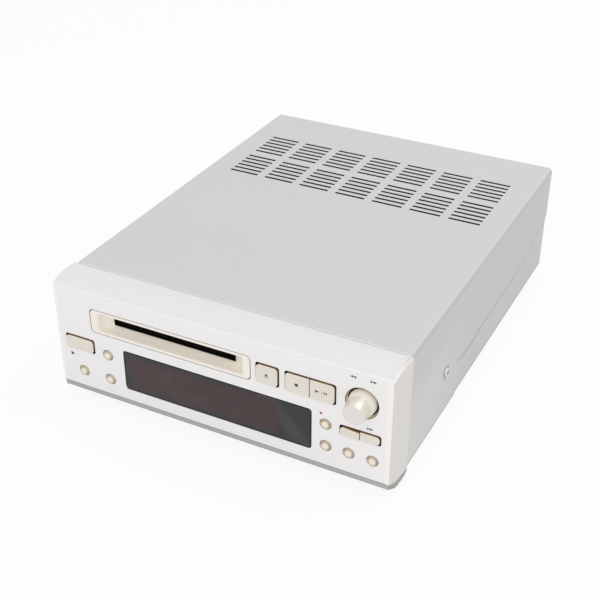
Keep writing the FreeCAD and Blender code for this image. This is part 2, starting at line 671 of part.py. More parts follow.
# ---------------------------------------------------------------- keys and knob
def key_button(x, z, width, height):
    """Hollow key with a soft front edge, guide flanges above and below, and a cross stem."""
    back = WALL_BACK + PRESS_GAP
    cap = rounded_slab(x, z, width, height, KEY_CORNER, -BUTTON_PROUD, back + BUTTON_FLANGE)
    front_edges = [edge for edge in cap.Edges
                   if all(abs(v.Y - depth(-BUTTON_PROUD)) < 1e-6 for v in edge.Vertexes)]
    cap = cap.makeFillet(0.45, front_edges)
    lip = 1.1
    flange = block(x - width / 2 + KEY_CORNER, x + width / 2 - KEY_CORNER, back, back + BUTTON_FLANGE,
                   z - height / 2 - lip, z + height / 2 + lip)
    hollow = block(x - width / 2 + BUTTON_SKIN, x + width / 2 - BUTTON_SKIN, BUTTON_SKIN - BUTTON_PROUD,
                   back + 2 * BUTTON_FLANGE, z - height / 2 + BUTTON_SKIN, z + height / 2 - BUTTON_SKIN)
    shell = cap.fuse(flange).cut(hollow)
    arm = 1.5
    web = 0.5
    cross = [block(x - arm, x + arm, -0.3, STEM_END, z - web, z + web),
             block(x - web, x + web, -0.3, STEM_END, z - arm, z + arm)]
    return shell.multiFuse(cross).removeSplitter()


def round_button(x, z):
    """Small domed button with a retaining flange and a stem."""
    back = WALL_BACK + PRESS_GAP
    radius = ROUND_BUTTON_RADIUS
    dome = 0.9
    sphere_radius = (radius ** 2 + dome ** 2) / (2 * dome)
    front = -BUTTON_PROUD
    shaft = rod_y(front, back, x, z, radius)
    ball = Part.makeSphere(sphere_radius, FreeCAD.Vector(x, depth(front + sphere_radius), z))
    flange = rod_y(back, back + BUTTON_FLANGE, x, z, radius + 1.1)
    stem = rod_y(back, STEM_END, x, z, 1.4)
    return shaft.common(ball).multiFuse([flange, stem]).removeSplitter()


def knob_dish():
    """Turned ring in the fascia that the knob stands in."""
    rim = DISH_RADIUS + 1.4
    floor = DISH_DEPTH + 1.0
    inner = DISH_RADIUS - DISH_WALL
    return turned([(0.1, DISH_RADIUS), (WALL_BACK, DISH_RADIUS), (WALL_BACK, rim), (floor, rim),
                   (floor, SHAFT_RADIUS + 0.7), (DISH_DEPTH, SHAFT_RADIUS + 0.7), (DISH_DEPTH, inner),
                   (0.1, inner)], KNOB_X, KNOB_Z)


def jog_knob():
    """Tapered knob, hollow behind, with a flat on the bore of its boss."""
    base = DISH_DEPTH - 1.0
    skin = 1.3
    boss = SHAFT_RADIUS + 1.5
    front = -KNOB_REACH
    waist = KNOB_REACH * 0.45
    edge = 0.5
    profile = [
        (base, boss), (base - 6.0, boss), (base - 6.0, KNOB_BASE_RADIUS - skin - 0.4),
        (base, KNOB_BASE_RADIUS - skin), (base, KNOB_BASE_RADIUS), (base - 1.6, KNOB_BASE_RADIUS),
        (-waist, KNOB_FACE_RADIUS + 0.9), (front + edge, KNOB_FACE_RADIUS),
        (front, KNOB_FACE_RADIUS - edge), (front, 0.0), (base, 0.0),
    ]
    body = turned(profile, KNOB_X, KNOB_Z)
    return body.cut(shaft_section(RUNNING_GAP, base - 8.0, base + 1.0))


def shaft_section(clearance, d0, d1):
    """The encoder's D-shaped shaft, or the bore that fits it."""
    radius = SHAFT_RADIUS + clearance
    flat = SHAFT_RADIUS - 1.5 + clearance
    bar = rod_y(d0, d1, KNOB_X, KNOB_Z, radius)
    side = block(KNOB_X - 2 * radius, KNOB_X + 2 * radius, d0 - 1, d1 + 1, KNOB_Z + flat, KNOB_Z + 2 * radius)
    return bar.cut(side)


def encoder_rotor_span():
    """Front and rear depth of the encoder's rotor disc."""
    return FRONT_BOARD_DEPTH - 3.5, FRONT_BOARD_DEPTH - 1.8


def encoder_shaft():
    """Shaft that the knob sits on, which turns the rotor and slides through it."""
    return shaft_section(0.0, DISH_DEPTH - 9.0, FRONT_BOARD_DEPTH - 1.6)


def encoder_rotor():
    """Toothed rotor disc of the encoder."""
    front, back = encoder_rotor_span()
    disc = rod_y(front, back, KNOB_X, KNOB_Z, 4.6)
    return disc.cut(shaft_section(RUNNING_GAP, front - 1, back + 1))


def encoder_body():
    """Square encoder case on the board, with its threaded neck towards the knob."""
    front, back = encoder_rotor_span()
    half = 6.0
    case = block(KNOB_X - half, KNOB_X + half, front - 1.3, FRONT_BOARD_DEPTH, KNOB_Z - half, KNOB_Z + half)
    neck = rod_y(DISH_DEPTH + 0.2, front - 1.3, KNOB_X, KNOB_Z, SHAFT_RADIUS + 0.55)
    room = rod_y(front - 0.2, FRONT_BOARD_DEPTH - 0.9, KNOB_X, KNOB_Z, 4.8)
    bore = rod_y(DISH_DEPTH - 1, front, KNOB_X, KNOB_Z, SHAFT_RADIUS + RUNNING_GAP)
    return case.fuse(neck).cut(room.fuse(bore))


# ---------------------------------------------------------------- control board
def front_board():
    """Control board behind the keys, cut out round the slot's tunnel."""
    room_x0, room_x1, _, room_z0, room_z1 = flap_room()
    margin = 2.4
    half = HALF_WIDTH - CAP_WIDTH - 4.2
    board = block(-half, half, FRONT_BOARD_DEPTH, FRONT_BOARD_DEPTH + BOARD_THICK,
                  FACE_BOTTOM + 0.6, FACE_TOP - 3.0)
    d0 = FRONT_BOARD_DEPTH - 1.0
    d1 = FRONT_BOARD_DEPTH + BOARD_THICK + 1.0
    cutters = [rod_y(d0, d1, x, z, BOSS_PIN_RADIUS + 0.15) for x, z in BOSS_PLACES]
    cutters.append(block(room_x0 - margin, room_x1 + margin, d0, d1, room_z0 - margin, room_z1 + margin))
    return board.cut(Part.makeCompound(cutters))


def tact_switches():
    """One push switch behind each key."""
    half = SWITCH_SIDE / 2
    switches = []
    for x, z in SWITCH_PLACES:
        case = block(x - half, x + half, SWITCH_FACE, FRONT_BOARD_DEPTH, z - half, z + half)
        switches.append(case.fuse(rod_y(PLUNGER_FACE, SWITCH_FACE, x, z, PLUNGER_RADIUS)))
    return Part.makeCompound(switches)


def display_tube():
    """Flat glass display tube with its exhaust tip."""
    back = FRONT_BOARD_DEPTH - TUBE_SEAT
    tube = block(-TUBE_WIDTH / 2, TUBE_WIDTH / 2, back - TUBE_THICK, back,
                 DISPLAY_Z - TUBE_HEIGHT / 2, DISPLAY_Z + TUBE_HEIGHT / 2)
    tip = rod_x(TUBE_WIDTH / 2, TUBE_WIDTH / 2 + 2.5, back - TUBE_THICK / 2, DISPLAY_Z + 5.0, 1.0)
    return tube.fuse(tip)


def display_holder():
    """Plastic frame that holds the display tube against the board."""
    back = FRONT_BOARD_DEPTH
    front = WALL_BACK + 1.4
    gap = 0.3
    wall = 1.6
    lip = 1.5
    side_room = 3.0
    half = TUBE_WIDTH / 2 + gap + side_room
    z0 = DISPLAY_Z - TUBE_HEIGHT / 2 - gap
    z1 = DISPLAY_Z + TUBE_HEIGHT / 2 + gap
    rail_height = 2.0
    frame = block(-half - wall, half + wall, front, back, z0 - wall, z1 + wall)
    room = block(-half, half, back - TUBE_SEAT - TUBE_THICK - gap, back, z0, z1)
    view = block(-half + lip, half - lip, front - 1, back, z0 + lip, z1 - lip)
    rails = [block(-half, half, back - TUBE_SEAT, back, z, z + rail_height) for z in (z0, z1 - rail_height)]
    return frame.cut(room.fuse(view)).multiFuse(rails).removeSplitter()


# ---------------------------------------------------------------- cabinet
def folded_u(half, bottom, top, bend, d0, d1):
    """Folded sheet: a top with two sides, and rounded bends."""
    outer = block(-half, half, d0, d1, bottom, top)
    inner = block(-half + SHEET, half - SHEET, d0 - 1, d1 + 1, bottom - 1, top - SHEET)
    shapes = []
    for solid, radius, level in ((outer, bend, top), (inner, bend - SHEET, top - SHEET)):
        corners = [edge for edge in solid.Edges
                   if all(abs(v.Z - level) < 1e-6 for v in edge.Vertexes)
                   and abs(edge.Vertexes[0].X - edge.Vertexes[1].X) < 1e-6]
        shapes.append(solid.makeFillet(radius, corners))
    return shapes[0].cut(shapes[1])


def joggle_wire(x, inset, past):
    """Outline of the pressed-in strip along a side's lower edge, at one value of x.

    It starts behind the side screw, runs level to the rear and then sweeps up to the
    back edge. The inset moves its front and top inwards.
    """
    front = SCREW_AT[0] + 19.0 + inset
    bend = 0.75 * BODY_DEPTH
    level = SCREW_AT[1] - 4.0 - inset
    rise = 1.5
    sweep = 13.0
    back = BODY_DEPTH + past
    low = FOOT_HEIGHT - past
    start = FreeCAD.Vector(x, depth(bend), level + rise)
    half_way = FreeCAD.Vector(x, depth((bend + back) / 2), level + rise + 0.27 * sweep)
    end = FreeCAD.Vector(x, depth(back), level + rise + sweep)
    around = [FreeCAD.Vector(x, depth(back), low), FreeCAD.Vector(x, depth(front), low),
              FreeCAD.Vector(x, depth(front), level)]
    corners = [end] + around + [start]
    edges = [Part.LineSegment(a, b).toShape() for a, b in zip(corners, corners[1:])]
    return Part.Wire(edges + [Part.Arc(start, half_way, end).toShape()])


def joggled(cover):
    """The cover with the strip of each side pressed in, at an unchanged sheet thickness."""
    past = 2.0
    skin = HALF_WIDTH
    outside = Part.makeLoft([joggle_wire(skin + JOGGLE, -JOGGLE_SLOPE, past),
                             joggle_wire(skin - JOGGLE, JOGGLE_SLOPE, past)], True, True)
    inside = outside.translated(FreeCAD.Vector(-SHEET, 0, 0))
    room = block(skin - SHEET - JOGGLE, skin - SHEET / 2, 0, BODY_DEPTH, FOOT_HEIGHT, COVER_TOP)
    pad = inside.common(room)
    for piece in (pad, pad.mirror(FreeCAD.Vector(0, 0, 0), FreeCAD.Vector(1, 0, 0))):
        cover = cover.fuse(piece)
    for piece in (outside, outside.mirror(FreeCAD.Vector(0, 0, 0), FreeCAD.Vector(1, 0, 0))):
        cover = cover.cut(piece)
    return cover.removeSplitter()


def top_cover():
    """Folded cover with vent slots, pressed side strips, screw dimples and a rear lip."""
    front = FASCIA_DEPTH + SEAM_GAP
    cover = folded_u(HALF_WIDTH, FOOT_HEIGHT, COVER_TOP, COVER_BEND, front, BODY_DEPTH)
    lip_half = HALF_WIDTH - COVER_BEND - 4.0
    lip = block(-lip_half, lip_half, BODY_DEPTH - SHEET, BODY_DEPTH,
                COVER_TOP - LIP_DROP, COVER_TOP - SHEET / 2)
    cover = joggled(cover.fuse(lip).removeSplitter())
    past = 1.0
    hole = SHANK_RADIUS + SCREW_PLAY
    cutters = []
    for column in range(VENT_COLUMNS):
        middle = (column - (VENT_COLUMNS - 1) / 2) * VENT_COLUMN_PITCH
        for row in range(2):
            start = VENT_FRONT + row * ((VENT_SLOTS - 1) * VENT_PITCH + VENT_ROW_GAP)
            cutters += slot_row(middle - VENT_LENGTH / 2, middle + VENT_LENGTH / 2, start, VENT_PITCH,
                                VENT_SLOTS, VENT_WIDTH, COVER_UNDER - past, COVER_TOP + past)
    for side in (-1, 1):
        skin = side * HALF_WIDTH
        low, high = sorted((skin - side * 2 * SHEET, skin + side * past))
        cutters.append(rod_x(low, high, *SCREW_AT, hole))
        low, high = sorted((skin - side * DIMPLE_DEPTH, skin + side * past))
        cutters.append(rod_x(low, high, *SCREW_AT, DIMPLE_RADIUS))
        cutters.append(rod_y(BODY_DEPTH - 2 * SHEET, BODY_DEPTH + past, side * LIP_SCREW_AT[0],
                             LIP_SCREW_AT[1], hole))
    return cover.cut(Part.makeCompound(cutters))


def screw(length):
    """Round-head screw along +Y with a cross recess; the underside of its head is at the origin."""
    back = FreeCAD.Vector(0, 1, 0)
    head = Part.makeCylinder(HEAD_RADIUS, HEAD_HEIGHT, FreeCAD.Vector(0, -HEAD_HEIGHT, 0), back)
    rim = [edge for edge in head.Edges if abs(edge.BoundBox.YMax + HEAD_HEIGHT) < 1e-6 and edge.Closed]
    head = head.makeFillet(HEAD_HEIGHT * 0.6, rim)
    shank = Part.makeCylinder(SHANK_RADIUS, length, FreeCAD.Vector(0, 0, 0), back)
    cross_half = 1.5
    web = 0.35
    past = 1.8
    cutters = [Part.makeBox(2 * a, past, 2 * b, FreeCAD.Vector(-a, -past - HEAD_HEIGHT * 0.4, -b))
               for a, b in ((cross_half, web), (web, cross_half))]
    return head.fuse(shank).cut(Part.makeCompound(cutters))


def cover_screws():
    """The screws that hold the cover: one in each side, two in the rear lip."""
    origin = FreeCAD.Vector(0, 0, 0)
    upright = FreeCAD.Vector(0, 0, 1)
    reach = 3.5
    screw_depth, screw_z = SCREW_AT
    lip_x, lip_z = LIP_SCREW_AT
    screws = []
    for side in (-1, 1):
        piece = screw(reach)
        piece.rotate(origin, upright, 90 * side)
        piece.translate(FreeCAD.Vector(side * (HALF_WIDTH - DIMPLE_DEPTH), depth(screw_depth), screw_z))
        screws.append(piece)
        piece = screw(reach)
        piece.rotate(origin, upright, 180)
        piece.translate(FreeCAD.Vector(side * lip_x, depth(BODY_DEPTH), lip_z))
        screws.append(piece)
    return Part.makeCompound(screws)


def chassis_tray():
    """Folded chassis: floor with board posts and cooling slots, and two low sides."""
    front = BRACKET_DEPTH
    back = REAR_PANEL_DEPTH - SEAM_GAP
    half = INSIDE_HALF
    past = 1.0
    tray = folded_u(half, -FOOT_HEIGHT - CHASSIS_SIDE, -FOOT_HEIGHT, CHASSIS_BEND, front, back)
    tray = tray.mirror(FreeCAD.Vector(0, 0, 0), FreeCAD.Vector(0, 0, 1))
    inside_caps = HALF_WIDTH - CAP_WIDTH - HOLE_GAP
    corners = [block(x0, x1, front - past, FASCIA_DEPTH + SEAM_GAP, FOOT_HEIGHT - past, COVER_TOP)
               for x0, x1 in ((-half - past, -inside_caps), (inside_caps, half + past))]
    tray = tray.cut(Part.makeCompound(corners))
    posts = [rod_z(FLOOR_TOP - SHEET / 2, FLOOR_TOP + MAIN_BOARD_LIFT, x, at, 3.0) for x, at in POST_PLACES]
    tray = tray.multiFuse(posts).removeSplitter()
    cutters = []
    slot_length = 24.0
    slot_width = 2.4
    slot_pitch = 7.0
    for across in (0.38, 0.64):
        x, at = board_place(across, 0.1)
        cutters += slot_row(x, x + slot_length, at, slot_pitch, 8, slot_width,
                            FOOT_HEIGHT - past, FLOOR_TOP + past)
    cutters.append(rod_x(-half - past, half + past, *SCREW_AT, SHANK_RADIUS + RUNNING_GAP))
    return tray.cut(Part.makeCompound(cutters))


def feet():
    """Four round rubber feet, stuck under the chassis."""
    return Part.makeCompound([
        turned_upright([(0, 0.0), (0, 8.8), (1.0, 9.6), (FOOT_HEIGHT, 10.4), (FOOT_HEIGHT, 0.0)], x, at)
        for x, at in FOOT_PLACES])


def front_bracket():
    """Steel plate between chassis and fascia, with openings for the slot and the ribbon."""
    room_x0, room_x1, _, room_z0, room_z1 = flap_room()
    half = CLEAR_OF_BEND
    foot_half = half - 6.0
    past = 1.0
    front = BRACKET_DEPTH
    plate = block(-half, half, front, front + SHEET, FLOOR_TOP, WALL_TOP + 6.0)
    foot = block(-foot_half, foot_half, front, FASCIA_DEPTH + 1.2, FLOOR_TOP, FLOOR_TOP + SHEET)
    margin = 3.0
    cutters = [block(room_x0 - margin, room_x1 + margin, front - past, front + SHEET + past,
                     room_z0 - margin, room_z1 + margin)]
    x0, x1 = RIBBON_SPAN
    cutters.append(block(x0 - margin, x1 + margin, front - past, front + SHEET + past,
                         RIBBON_START_Z - margin, RIBBON_START_Z + margin))
    return plate.fuse(foot).removeSplitter().cut(Part.makeCompound(cutters))


def rear_panel():
    """Flat steel back with a foot flange, side flanges, cooling slots and the socket openings."""
    half = CLEAR_OF_BEND
    top = COVER_UNDER - SEAM_GAP
    d0 = REAR_PANEL_DEPTH
    flange_depth = d0 - PANEL_FLANGE
    panel = block(-half, half, d0, d0 + SHEET, FLOOR_TOP, top)
    panel = panel.multiFuse([
        block(-half, half, flange_depth, d0, FLOOR_TOP, FLOOR_TOP + SHEET),
        block(-half, -half + SHEET, flange_depth, d0, FLOOR_TOP, top),
        block(half - SHEET, half, flange_depth, d0, FLOOR_TOP, top),
    ]).removeSplitter()
    past = 1.0
    fit = 0.15
    d1 = d0 - past
    d2 = d0 + SHEET + past
    optical = OPTICAL_SIDE + 2 * fit
    cutters = [rod_y(d1, d2, x, z, JACK_RADIUS + 0.6) for x, z in jack_places()]
    cutters += [rounded_slab(x, z, optical, optical, 0.5, d1, d2) for x, z in optical_places()]
    cutters.append(rounded_slab(*INLET_AT, INLET_WIDTH + 2 * fit, INLET_HEIGHT + 2 * fit, 2.0, d1, d2))
    lip_x, lip_z = LIP_SCREW_AT
    cutters += [rod_y(d1, d2, side * lip_x, lip_z, SHANK_RADIUS + RUNNING_GAP) for side in (-1, 1)]
    slot_half = 23.0
    slot_height = 1.4
    x0 = OPTICAL_AT[0] - slot_half
    x1 = OPTICAL_AT[0] + slot_half
    for row in range(5):
        z = COVER_UNDER - 22.0 + 2 * row * slot_height
        cutters.append(block(x0, x1, d1, d2, z, z + slot_height))
    return panel.cut(Part.makeCompound(cutters))


# ---------------------------------------------------------------- sockets
def jack_places():
    """X and Z of each phono socket."""
    x, z = JACK_AT
    return [(x + i * JACK_PITCH_X / 2, z + j * JACK_PITCH_Z / 2) for i in (-1, 1) for j in (-1, 1)]


def optical_places():
    """X and Z of each optical socket."""
    x, z = OPTICAL_AT
    return [(x + i * OPTICAL_PITCH / 2, z) for i in (-1, 1)]


def phono_jacks():
    """Plated sleeves of the phono sockets with their collars."""
    sleeves = []
    inner = JACK_RADIUS - 0.8
    front = REAR_PANEL_DEPTH - 4.0
    seat = REAR_PANEL_DEPTH + SHEET
    for x, z in jack_places():
        sleeve = turned([(front, inner), (front, JACK_RADIUS), (seat, JACK_RADIUS), (seat, JACK_RADIUS + 1.1),
                         (seat + 0.9, JACK_RADIUS + 1.1), (seat + 0.9, JACK_RADIUS),
                         (BODY_DEPTH + JACK_REACH, JACK_RADIUS), (BODY_DEPTH + JACK_REACH, inner)], x, z)
        sleeves.append(sleeve)
    return Part.makeCompound(sleeves)


def phono_block():
    """Black block behind the panel that holds the sleeves and their centre contacts."""
    x, z = JACK_AT
    reach = 5.4
    x0 = x - JACK_PITCH_X / 2 - reach
    x1 = x + JACK_PITCH_X / 2 + reach
    front = REAR_PANEL_DEPTH - 14.0
    body = block(x0, x1, front, REAR_PANEL_DEPTH, BOARD_TOP, z + JACK_PITCH_Z / 2 + reach)
    sockets = [rod_y(REAR_PANEL_DEPTH - 4.0, REAR_PANEL_DEPTH + 1, px, pz, JACK_RADIUS + RUNNING_GAP)
               for px, pz in jack_places()]
    body = body.cut(Part.makeCompound(sockets))
    cores = []
    core_end = BODY_DEPTH + JACK_REACH - 1.6
    for px, pz in jack_places():
        core = rod_y(REAR_PANEL_DEPTH - 4.2, core_end, px, pz, JACK_RADIUS - 0.8 - RUNNING_GAP)
        cores.append(core.cut(rod_y(core_end - 9.0, core_end + 1, px, pz, 1.65)))
    return body.multiFuse(cores)


def optical_jacks():
    """Two square optical sockets with keyed recesses."""
    sockets = []
    front = REAR_PANEL_DEPTH - 11.0
    back = REAR_PANEL_DEPTH + SHEET + 1.4
    mouth = 7.4
    for x, z in optical_places():
        half = OPTICAL_SIDE / 2
        case = block(x - half, x + half, front, back, z - half, z + half)
        leg = block(x - half + 2, x + half - 2, front, REAR_PANEL_DEPTH - 1, BOARD_TOP, z - half)
        recess = rounded_slab(x, z, mouth, mouth, 1.0, back - 9.0, back + 1)
        sockets.append(case.fuse(leg).cut(recess).removeSplitter())
    return Part.makeCompound(sockets)


def mains_inlet():
    """Two-pin figure-eight inlet with its recess and pins."""
    x, z = INLET_AT
    back = REAR_PANEL_DEPTH + SHEET + 1.2
    case = rounded_slab(x, z, INLET_WIDTH - 0.2, INLET_HEIGHT - 0.2, 2.0, REAR_PANEL_DEPTH - 16.0, back)
    rim = rounded_slab(x, z, INLET_WIDTH + 4.0, INLET_HEIGHT + 4.0, 3.0, REAR_PANEL_DEPTH + SHEET, back)
    pin_shift = 4.3
    lobe = 3.9
    depth_in = 12.0
    lobes = [rod_y(back - depth_in, back + 1, x + side * pin_shift, z, lobe) for side in (-1, 1)]
    waist = block(x - pin_shift, x + pin_shift, back - depth_in, back + 1, z - lobe + 0.4, z + lobe - 0.4)
    pins = [rod_y(back - depth_in - 1, back - 3.0, x + side * pin_shift, z, 1.2) for side in (-1, 1)]
    return case.fuse(rim).cut(waist.multiFuse(lobes)).multiFuse(pins)


# ---------------------------------------------------------------- disc mechanism
def mech_frame():
    """Pressed base of the mechanism: plate, slotted side walls, rail lugs and gear post."""
    left = MECH_X - FRAME_HALF
    right = MECH_X + FRAME_HALF
    low = RAIL_Z - 2.6
    plate = block(left, right, FRAME_FRONT, FRAME_BACK, PLATE_UNDER, PLATE_TOP)
    walls = [block(left - MECH_PLATE, left, FRAME_FRONT, FRAME_BACK, PLATE_UNDER, WALL_TOP),
             block(right, right + MECH_PLATE, FRAME_FRONT, FRAME_BACK, low, WALL_TOP)]
    tab = block(left - MECH_PLATE, left, WHEEL_DEPTH - 6.0, MOTOR_DEPTH + 8.0, MOTOR_Z - 7.5, PLATE_UNDER + 1)
    lugs = [block(LUG_X - LUG_THICK, LUG_X, at - 2.5, at + 2.5, low, PLATE_UNDER + 0.2)
            for at in (DISC_DEPTH - RAIL_SPREAD, DISC_DEPTH + RAIL_SPREAD, SCREW_DEPTH)]
    post = rod_x(left - MECH_PLATE - 5.4, left, WHEEL_DEPTH, WHEEL_Z, PIN_RADIUS)
    frame = plate.multiFuse(walls + [tab] + lugs + [post]).removeSplitter()
    past = 1.0
    outside = right + MECH_PLATE + past
    cutters = [rod_z(PLATE_UNDER - past, PLATE_TOP + past, MECH_X, DISC_DEPTH, 8.2),
               block(SLED_X - SLED_HALF - 0.6, outside, DISC_DEPTH - NOTCH_HALF - 0.5,
                     DISC_DEPTH + NOTCH_HALF + 0.5, low - past, WALL_TOP + past)]
    play = 0.3
    for x0, x1 in ((left - MECH_PLATE - past, left + past), (right - past, outside)):
        for at in HOLDER_PINS:
            cutters.append(slanted_slot((at, SLOT_Z + play), (at, SLOT_Z - HOLDER_DROP - play),
                                        PIN_RADIUS + 0.2, x0, x1))
    bores = [(DISC_DEPTH - RAIL_SPREAD, RAIL_RADIUS), (DISC_DEPTH + RAIL_SPREAD, RAIL_RADIUS),
             (SCREW_DEPTH, SCREW_RADIUS)]
    cutters += [rod_x(LUG_X - LUG_THICK, outside, at, RAIL_Z, radius + RUNNING_GAP) for at, radius in bores]
    cutters.append(rod_x(left - 2 * MECH_PLATE, left + past, MOTOR_DEPTH, MOTOR_Z, 2.2))
    return frame.cut(Part.makeCompound(cutters))


def mech_brackets():
    """Two hat-shaped bridges that carry the mechanism over the chassis floor."""
    left = MECH_X - BRIDGE_HALF
    right = MECH_X + BRIDGE_HALF
    bridges = []
    for at in (FRAME_FRONT + 7.0, FRAME_BACK - 5.0):
        d0 = at - 5.0
        d1 = at + 5.0
        top = block(left, right, d0, d1, STAND_TOP - SHEET, STAND_TOP)
        parts = []
        for x, out in ((left, -1), (right, 1)):
            x0, x1 = sorted((x, x - out * SHEET))
            parts.append(block(x0, x1, d0, d1, FLOOR_TOP, STAND_TOP))
            x0, x1 = sorted((x, x + out * 8.0))
            parts.append(block(x0, x1, d0, d1, FLOOR_TOP, FLOOR_TOP + SHEET))
        bridges.append(top.multiFuse(parts).removeSplitter())
    return Part.makeCompound(bridges)


def mech_dampers():
    """Rubber dampers between the bridges and the mechanism's plate."""
    middle = (STAND_TOP + PLATE_UNDER) / 2
    return Part.makeCompound([
        turned_upright([(STAND_TOP, 0.0), (STAND_TOP, 4.2), (middle - 0.8, 4.2), (middle, 3.0),
                        (middle + 0.8, 4.2), (PLATE_UNDER, 4.2), (PLATE_UNDER, 0.0)], x, at)
        for x, at in DAMPER_PLACES])


def cartridge_holder():
    """Sheet-metal holder open in front and below, with a head window and guide pins."""
    outer = HOLDER_HALF + HOLDER_SHEET
    low = HOLDER_LOW - HOLDER_SHEET
    high = HOLDER_HIGH + HOLDER_SHEET
    shell = block(MECH_X - outer, MECH_X + outer, HOLDER_FRONT, HOLDER_BACK, low, high)
    room = block(MECH_X - HOLDER_HALF, MECH_X + HOLDER_HALF, HOLDER_FRONT - 1, HOLDER_BACK - HOLDER_SHEET,
                 HOLDER_LOW, HOLDER_HIGH)
    lip = 6.5
    below = block(MECH_X - HOLDER_HALF + lip, MECH_X + HOLDER_HALF - lip, HOLDER_FRONT - 1, HOLDER_BACK + 1,
                  low - 1, HOLDER_LOW + 1)
    window_half = NOTCH_HALF + 1.0
    gap_half = window_half + 2.0
    window = block(SLED_X - 5.0, MECH_X + HOLDER_HALF - 1.5, DISC_DEPTH - window_half,
                   DISC_DEPTH + window_half, HOLDER_HIGH - 1, high + 1)
    lens_gap = block(SLED_X, MECH_X + HOLDER_HALF, DISC_DEPTH - gap_half, DISC_DEPTH + gap_half,
                     low - 1, HOLDER_LOW + 1)
    holder = shell
    for cutter in (room, below, window, lens_gap):
        holder = holder.cut(cutter)
    pins = []
    inner = HOLDER_HALF + 0.1
    left_reach = SLIDER_FACE + MECH_PLATE + 0.4
    right_reach = FRAME_HALF + MECH_PLATE + 0.5
    for at in HOLDER_PINS:
        pins.append(rod_x(MECH_X - left_reach, MECH_X - inner, at, SLOT_Z, PIN_RADIUS))
        pins.append(rod_x(MECH_X + inner, MECH_X + right_reach, at, SLOT_Z, PIN_RADIUS))
    return holder.multiFuse(pins).removeSplitter()


def loading_slider():
    """Cam slide: two slanted slots carry the holder's pins, a rack runs along its lower edge."""
    x1 = MECH_X - SLIDER_FACE
    x0 = x1 - MECH_PLATE
    front = HOLDER_PINS[0] - SLIDER_TRAVEL - 3.5
    back = HOLDER_PINS[1] + 4.0
    tooth = math.pi * GEAR_MODULE
    root = RACK_Z + 1.25 * GEAR_MODULE
    tip = RACK_Z - GEAR_MODULE
    lean_tip = GEAR_MODULE * math.tan(PRESSURE_ANGLE)
    lean_root = 1.25 * lean_tip
    half = tooth / 4 - TOOTH_BACKLASH / 2
    rack_front = WHEEL_DEPTH - SLIDER_TRAVEL - 4.5 * tooth
    rack_teeth = int((SLIDER_TRAVEL + 9 * tooth) / tooth)
    first = WHEEL_DEPTH + tooth / 2 - math.ceil((WHEEL_DEPTH - rack_front) / tooth) * tooth
    outline = [(front, WALL_TOP - 1.0), (front, root)]
    for i in range(rack_teeth):
        middle = first + i * tooth
        outline += [(middle - half - lean_root, root), (middle - half + lean_tip, tip),
                    (middle + half - lean_tip, tip), (middle + half + lean_root, root)]
    outline += [(back, root), (back, WALL_TOP - 1.0)]
    plate = side_plate(outline, x0, x1)
    slots = [slanted_slot((at + 0.3, SLOT_Z + 0.3 * HOLDER_DROP / SLIDER_TRAVEL),
                          (at - SLIDER_TRAVEL - 0.3, SLOT_Z - HOLDER_DROP * (1 + 0.3 / SLIDER_TRAVEL)),
                          PIN_RADIUS + 0.15, x0 - 1, x1 + 1) for at in HOLDER_PINS]
    return plate.cut(Part.makeCompound(slots))


def loading_gear():
    """Wheel and output pinion in one moulding, on the frame's post."""
    x1 = MECH_X - SLIDER_FACE + 0.1
    x0 = x1 - MECH_PLATE - 0.6
    output = spur_gear(OUTPUT_TEETH, WHEEL_DEPTH, WHEEL_Z, x0, x1, math.pi / 2)
    wheel = spur_gear(WHEEL_TEETH, WHEEL_DEPTH, WHEEL_Z, x0 - 1.6, x0, mesh_angle())
    gear = output.fuse(wheel)
    cutters = [rod_x(x0 - 3, x1 + 1, WHEEL_DEPTH, WHEEL_Z, PIN_RADIUS + RUNNING_GAP)]
    holes = 5
    ring = 6.1
    for i in range(holes):
        angle = 2 * math.pi * i / holes
        at = WHEEL_DEPTH + ring * math.cos(angle)
        cutters.append(rod_x(x0 - 3, x0 + 1, at, WHEEL_Z + ring * math.sin(angle), 1.3))
    return gear.cut(Part.makeCompound(cutters))


def mesh_angle():
    """Direction from the wheel's axis to the motor's, where a tooth of the wheel points."""
    return math.atan2(MOTOR_Z - WHEEL_Z, MOTOR_DEPTH - WHEEL_DEPTH)


def loading_pinion():
    """Motor's shaft with its pinion, a tooth gap facing the wheel."""
    x1 = MECH_X - SLIDER_FACE + 0.1 - MECH_PLATE - 0.6
    shaft = 0.8
    gap_turn = mesh_angle() + math.pi + math.pi / MOTOR_TEETH
    pinion = spur_gear(MOTOR_TEETH, MOTOR_DEPTH, MOTOR_Z, x1 - 1.8, x1 + 0.2, gap_turn)
    axle = rod_x(x1, MECH_X - FRAME_HALF + 6.0, MOTOR_DEPTH, MOTOR_Z, shaft)
    return pinion.fuse(axle)


def mech_motors():
    """Can motors of the loading gears and of the lead screw, on the frame's walls."""
    x0 = MECH_X - FRAME_HALF
    can = rod_x(x0, x0 + 16.0, MOTOR_DEPTH, MOTOR_Z, MOTOR_RADIUS)
    nose = rod_x(x0 - MECH_PLATE, x0, MOTOR_DEPTH, MOTOR_Z, 2.0)
    bore = rod_x(x0 - 3, x0 + 6.4, MOTOR_DEPTH, MOTOR_Z, 0.8 + RUNNING_GAP)
    flat = 4.9
    flats = [block(x0 - 3, x0 + 17, MOTOR_DEPTH - 8, MOTOR_DEPTH + 8, z, z + 3)
             for z in (MOTOR_Z - flat - 3, MOTOR_Z + flat)]
    loading = can.cut(Part.makeCompound(flats)).fuse(nose).cut(bore)
    x1 = MECH_X + FRAME_HALF + MECH_PLATE
    can = rod_x(x1, x1 + FEED_MOTOR_LENGTH, SCREW_DEPTH, RAIL_Z, 5.0)
    feeding = can.cut(rod_x(x1 - 1, x1 + 7.5, SCREW_DEPTH, RAIL_Z, SCREW_RADIUS + RUNNING_GAP))
    return Part.makeCompound([loading, feeding])


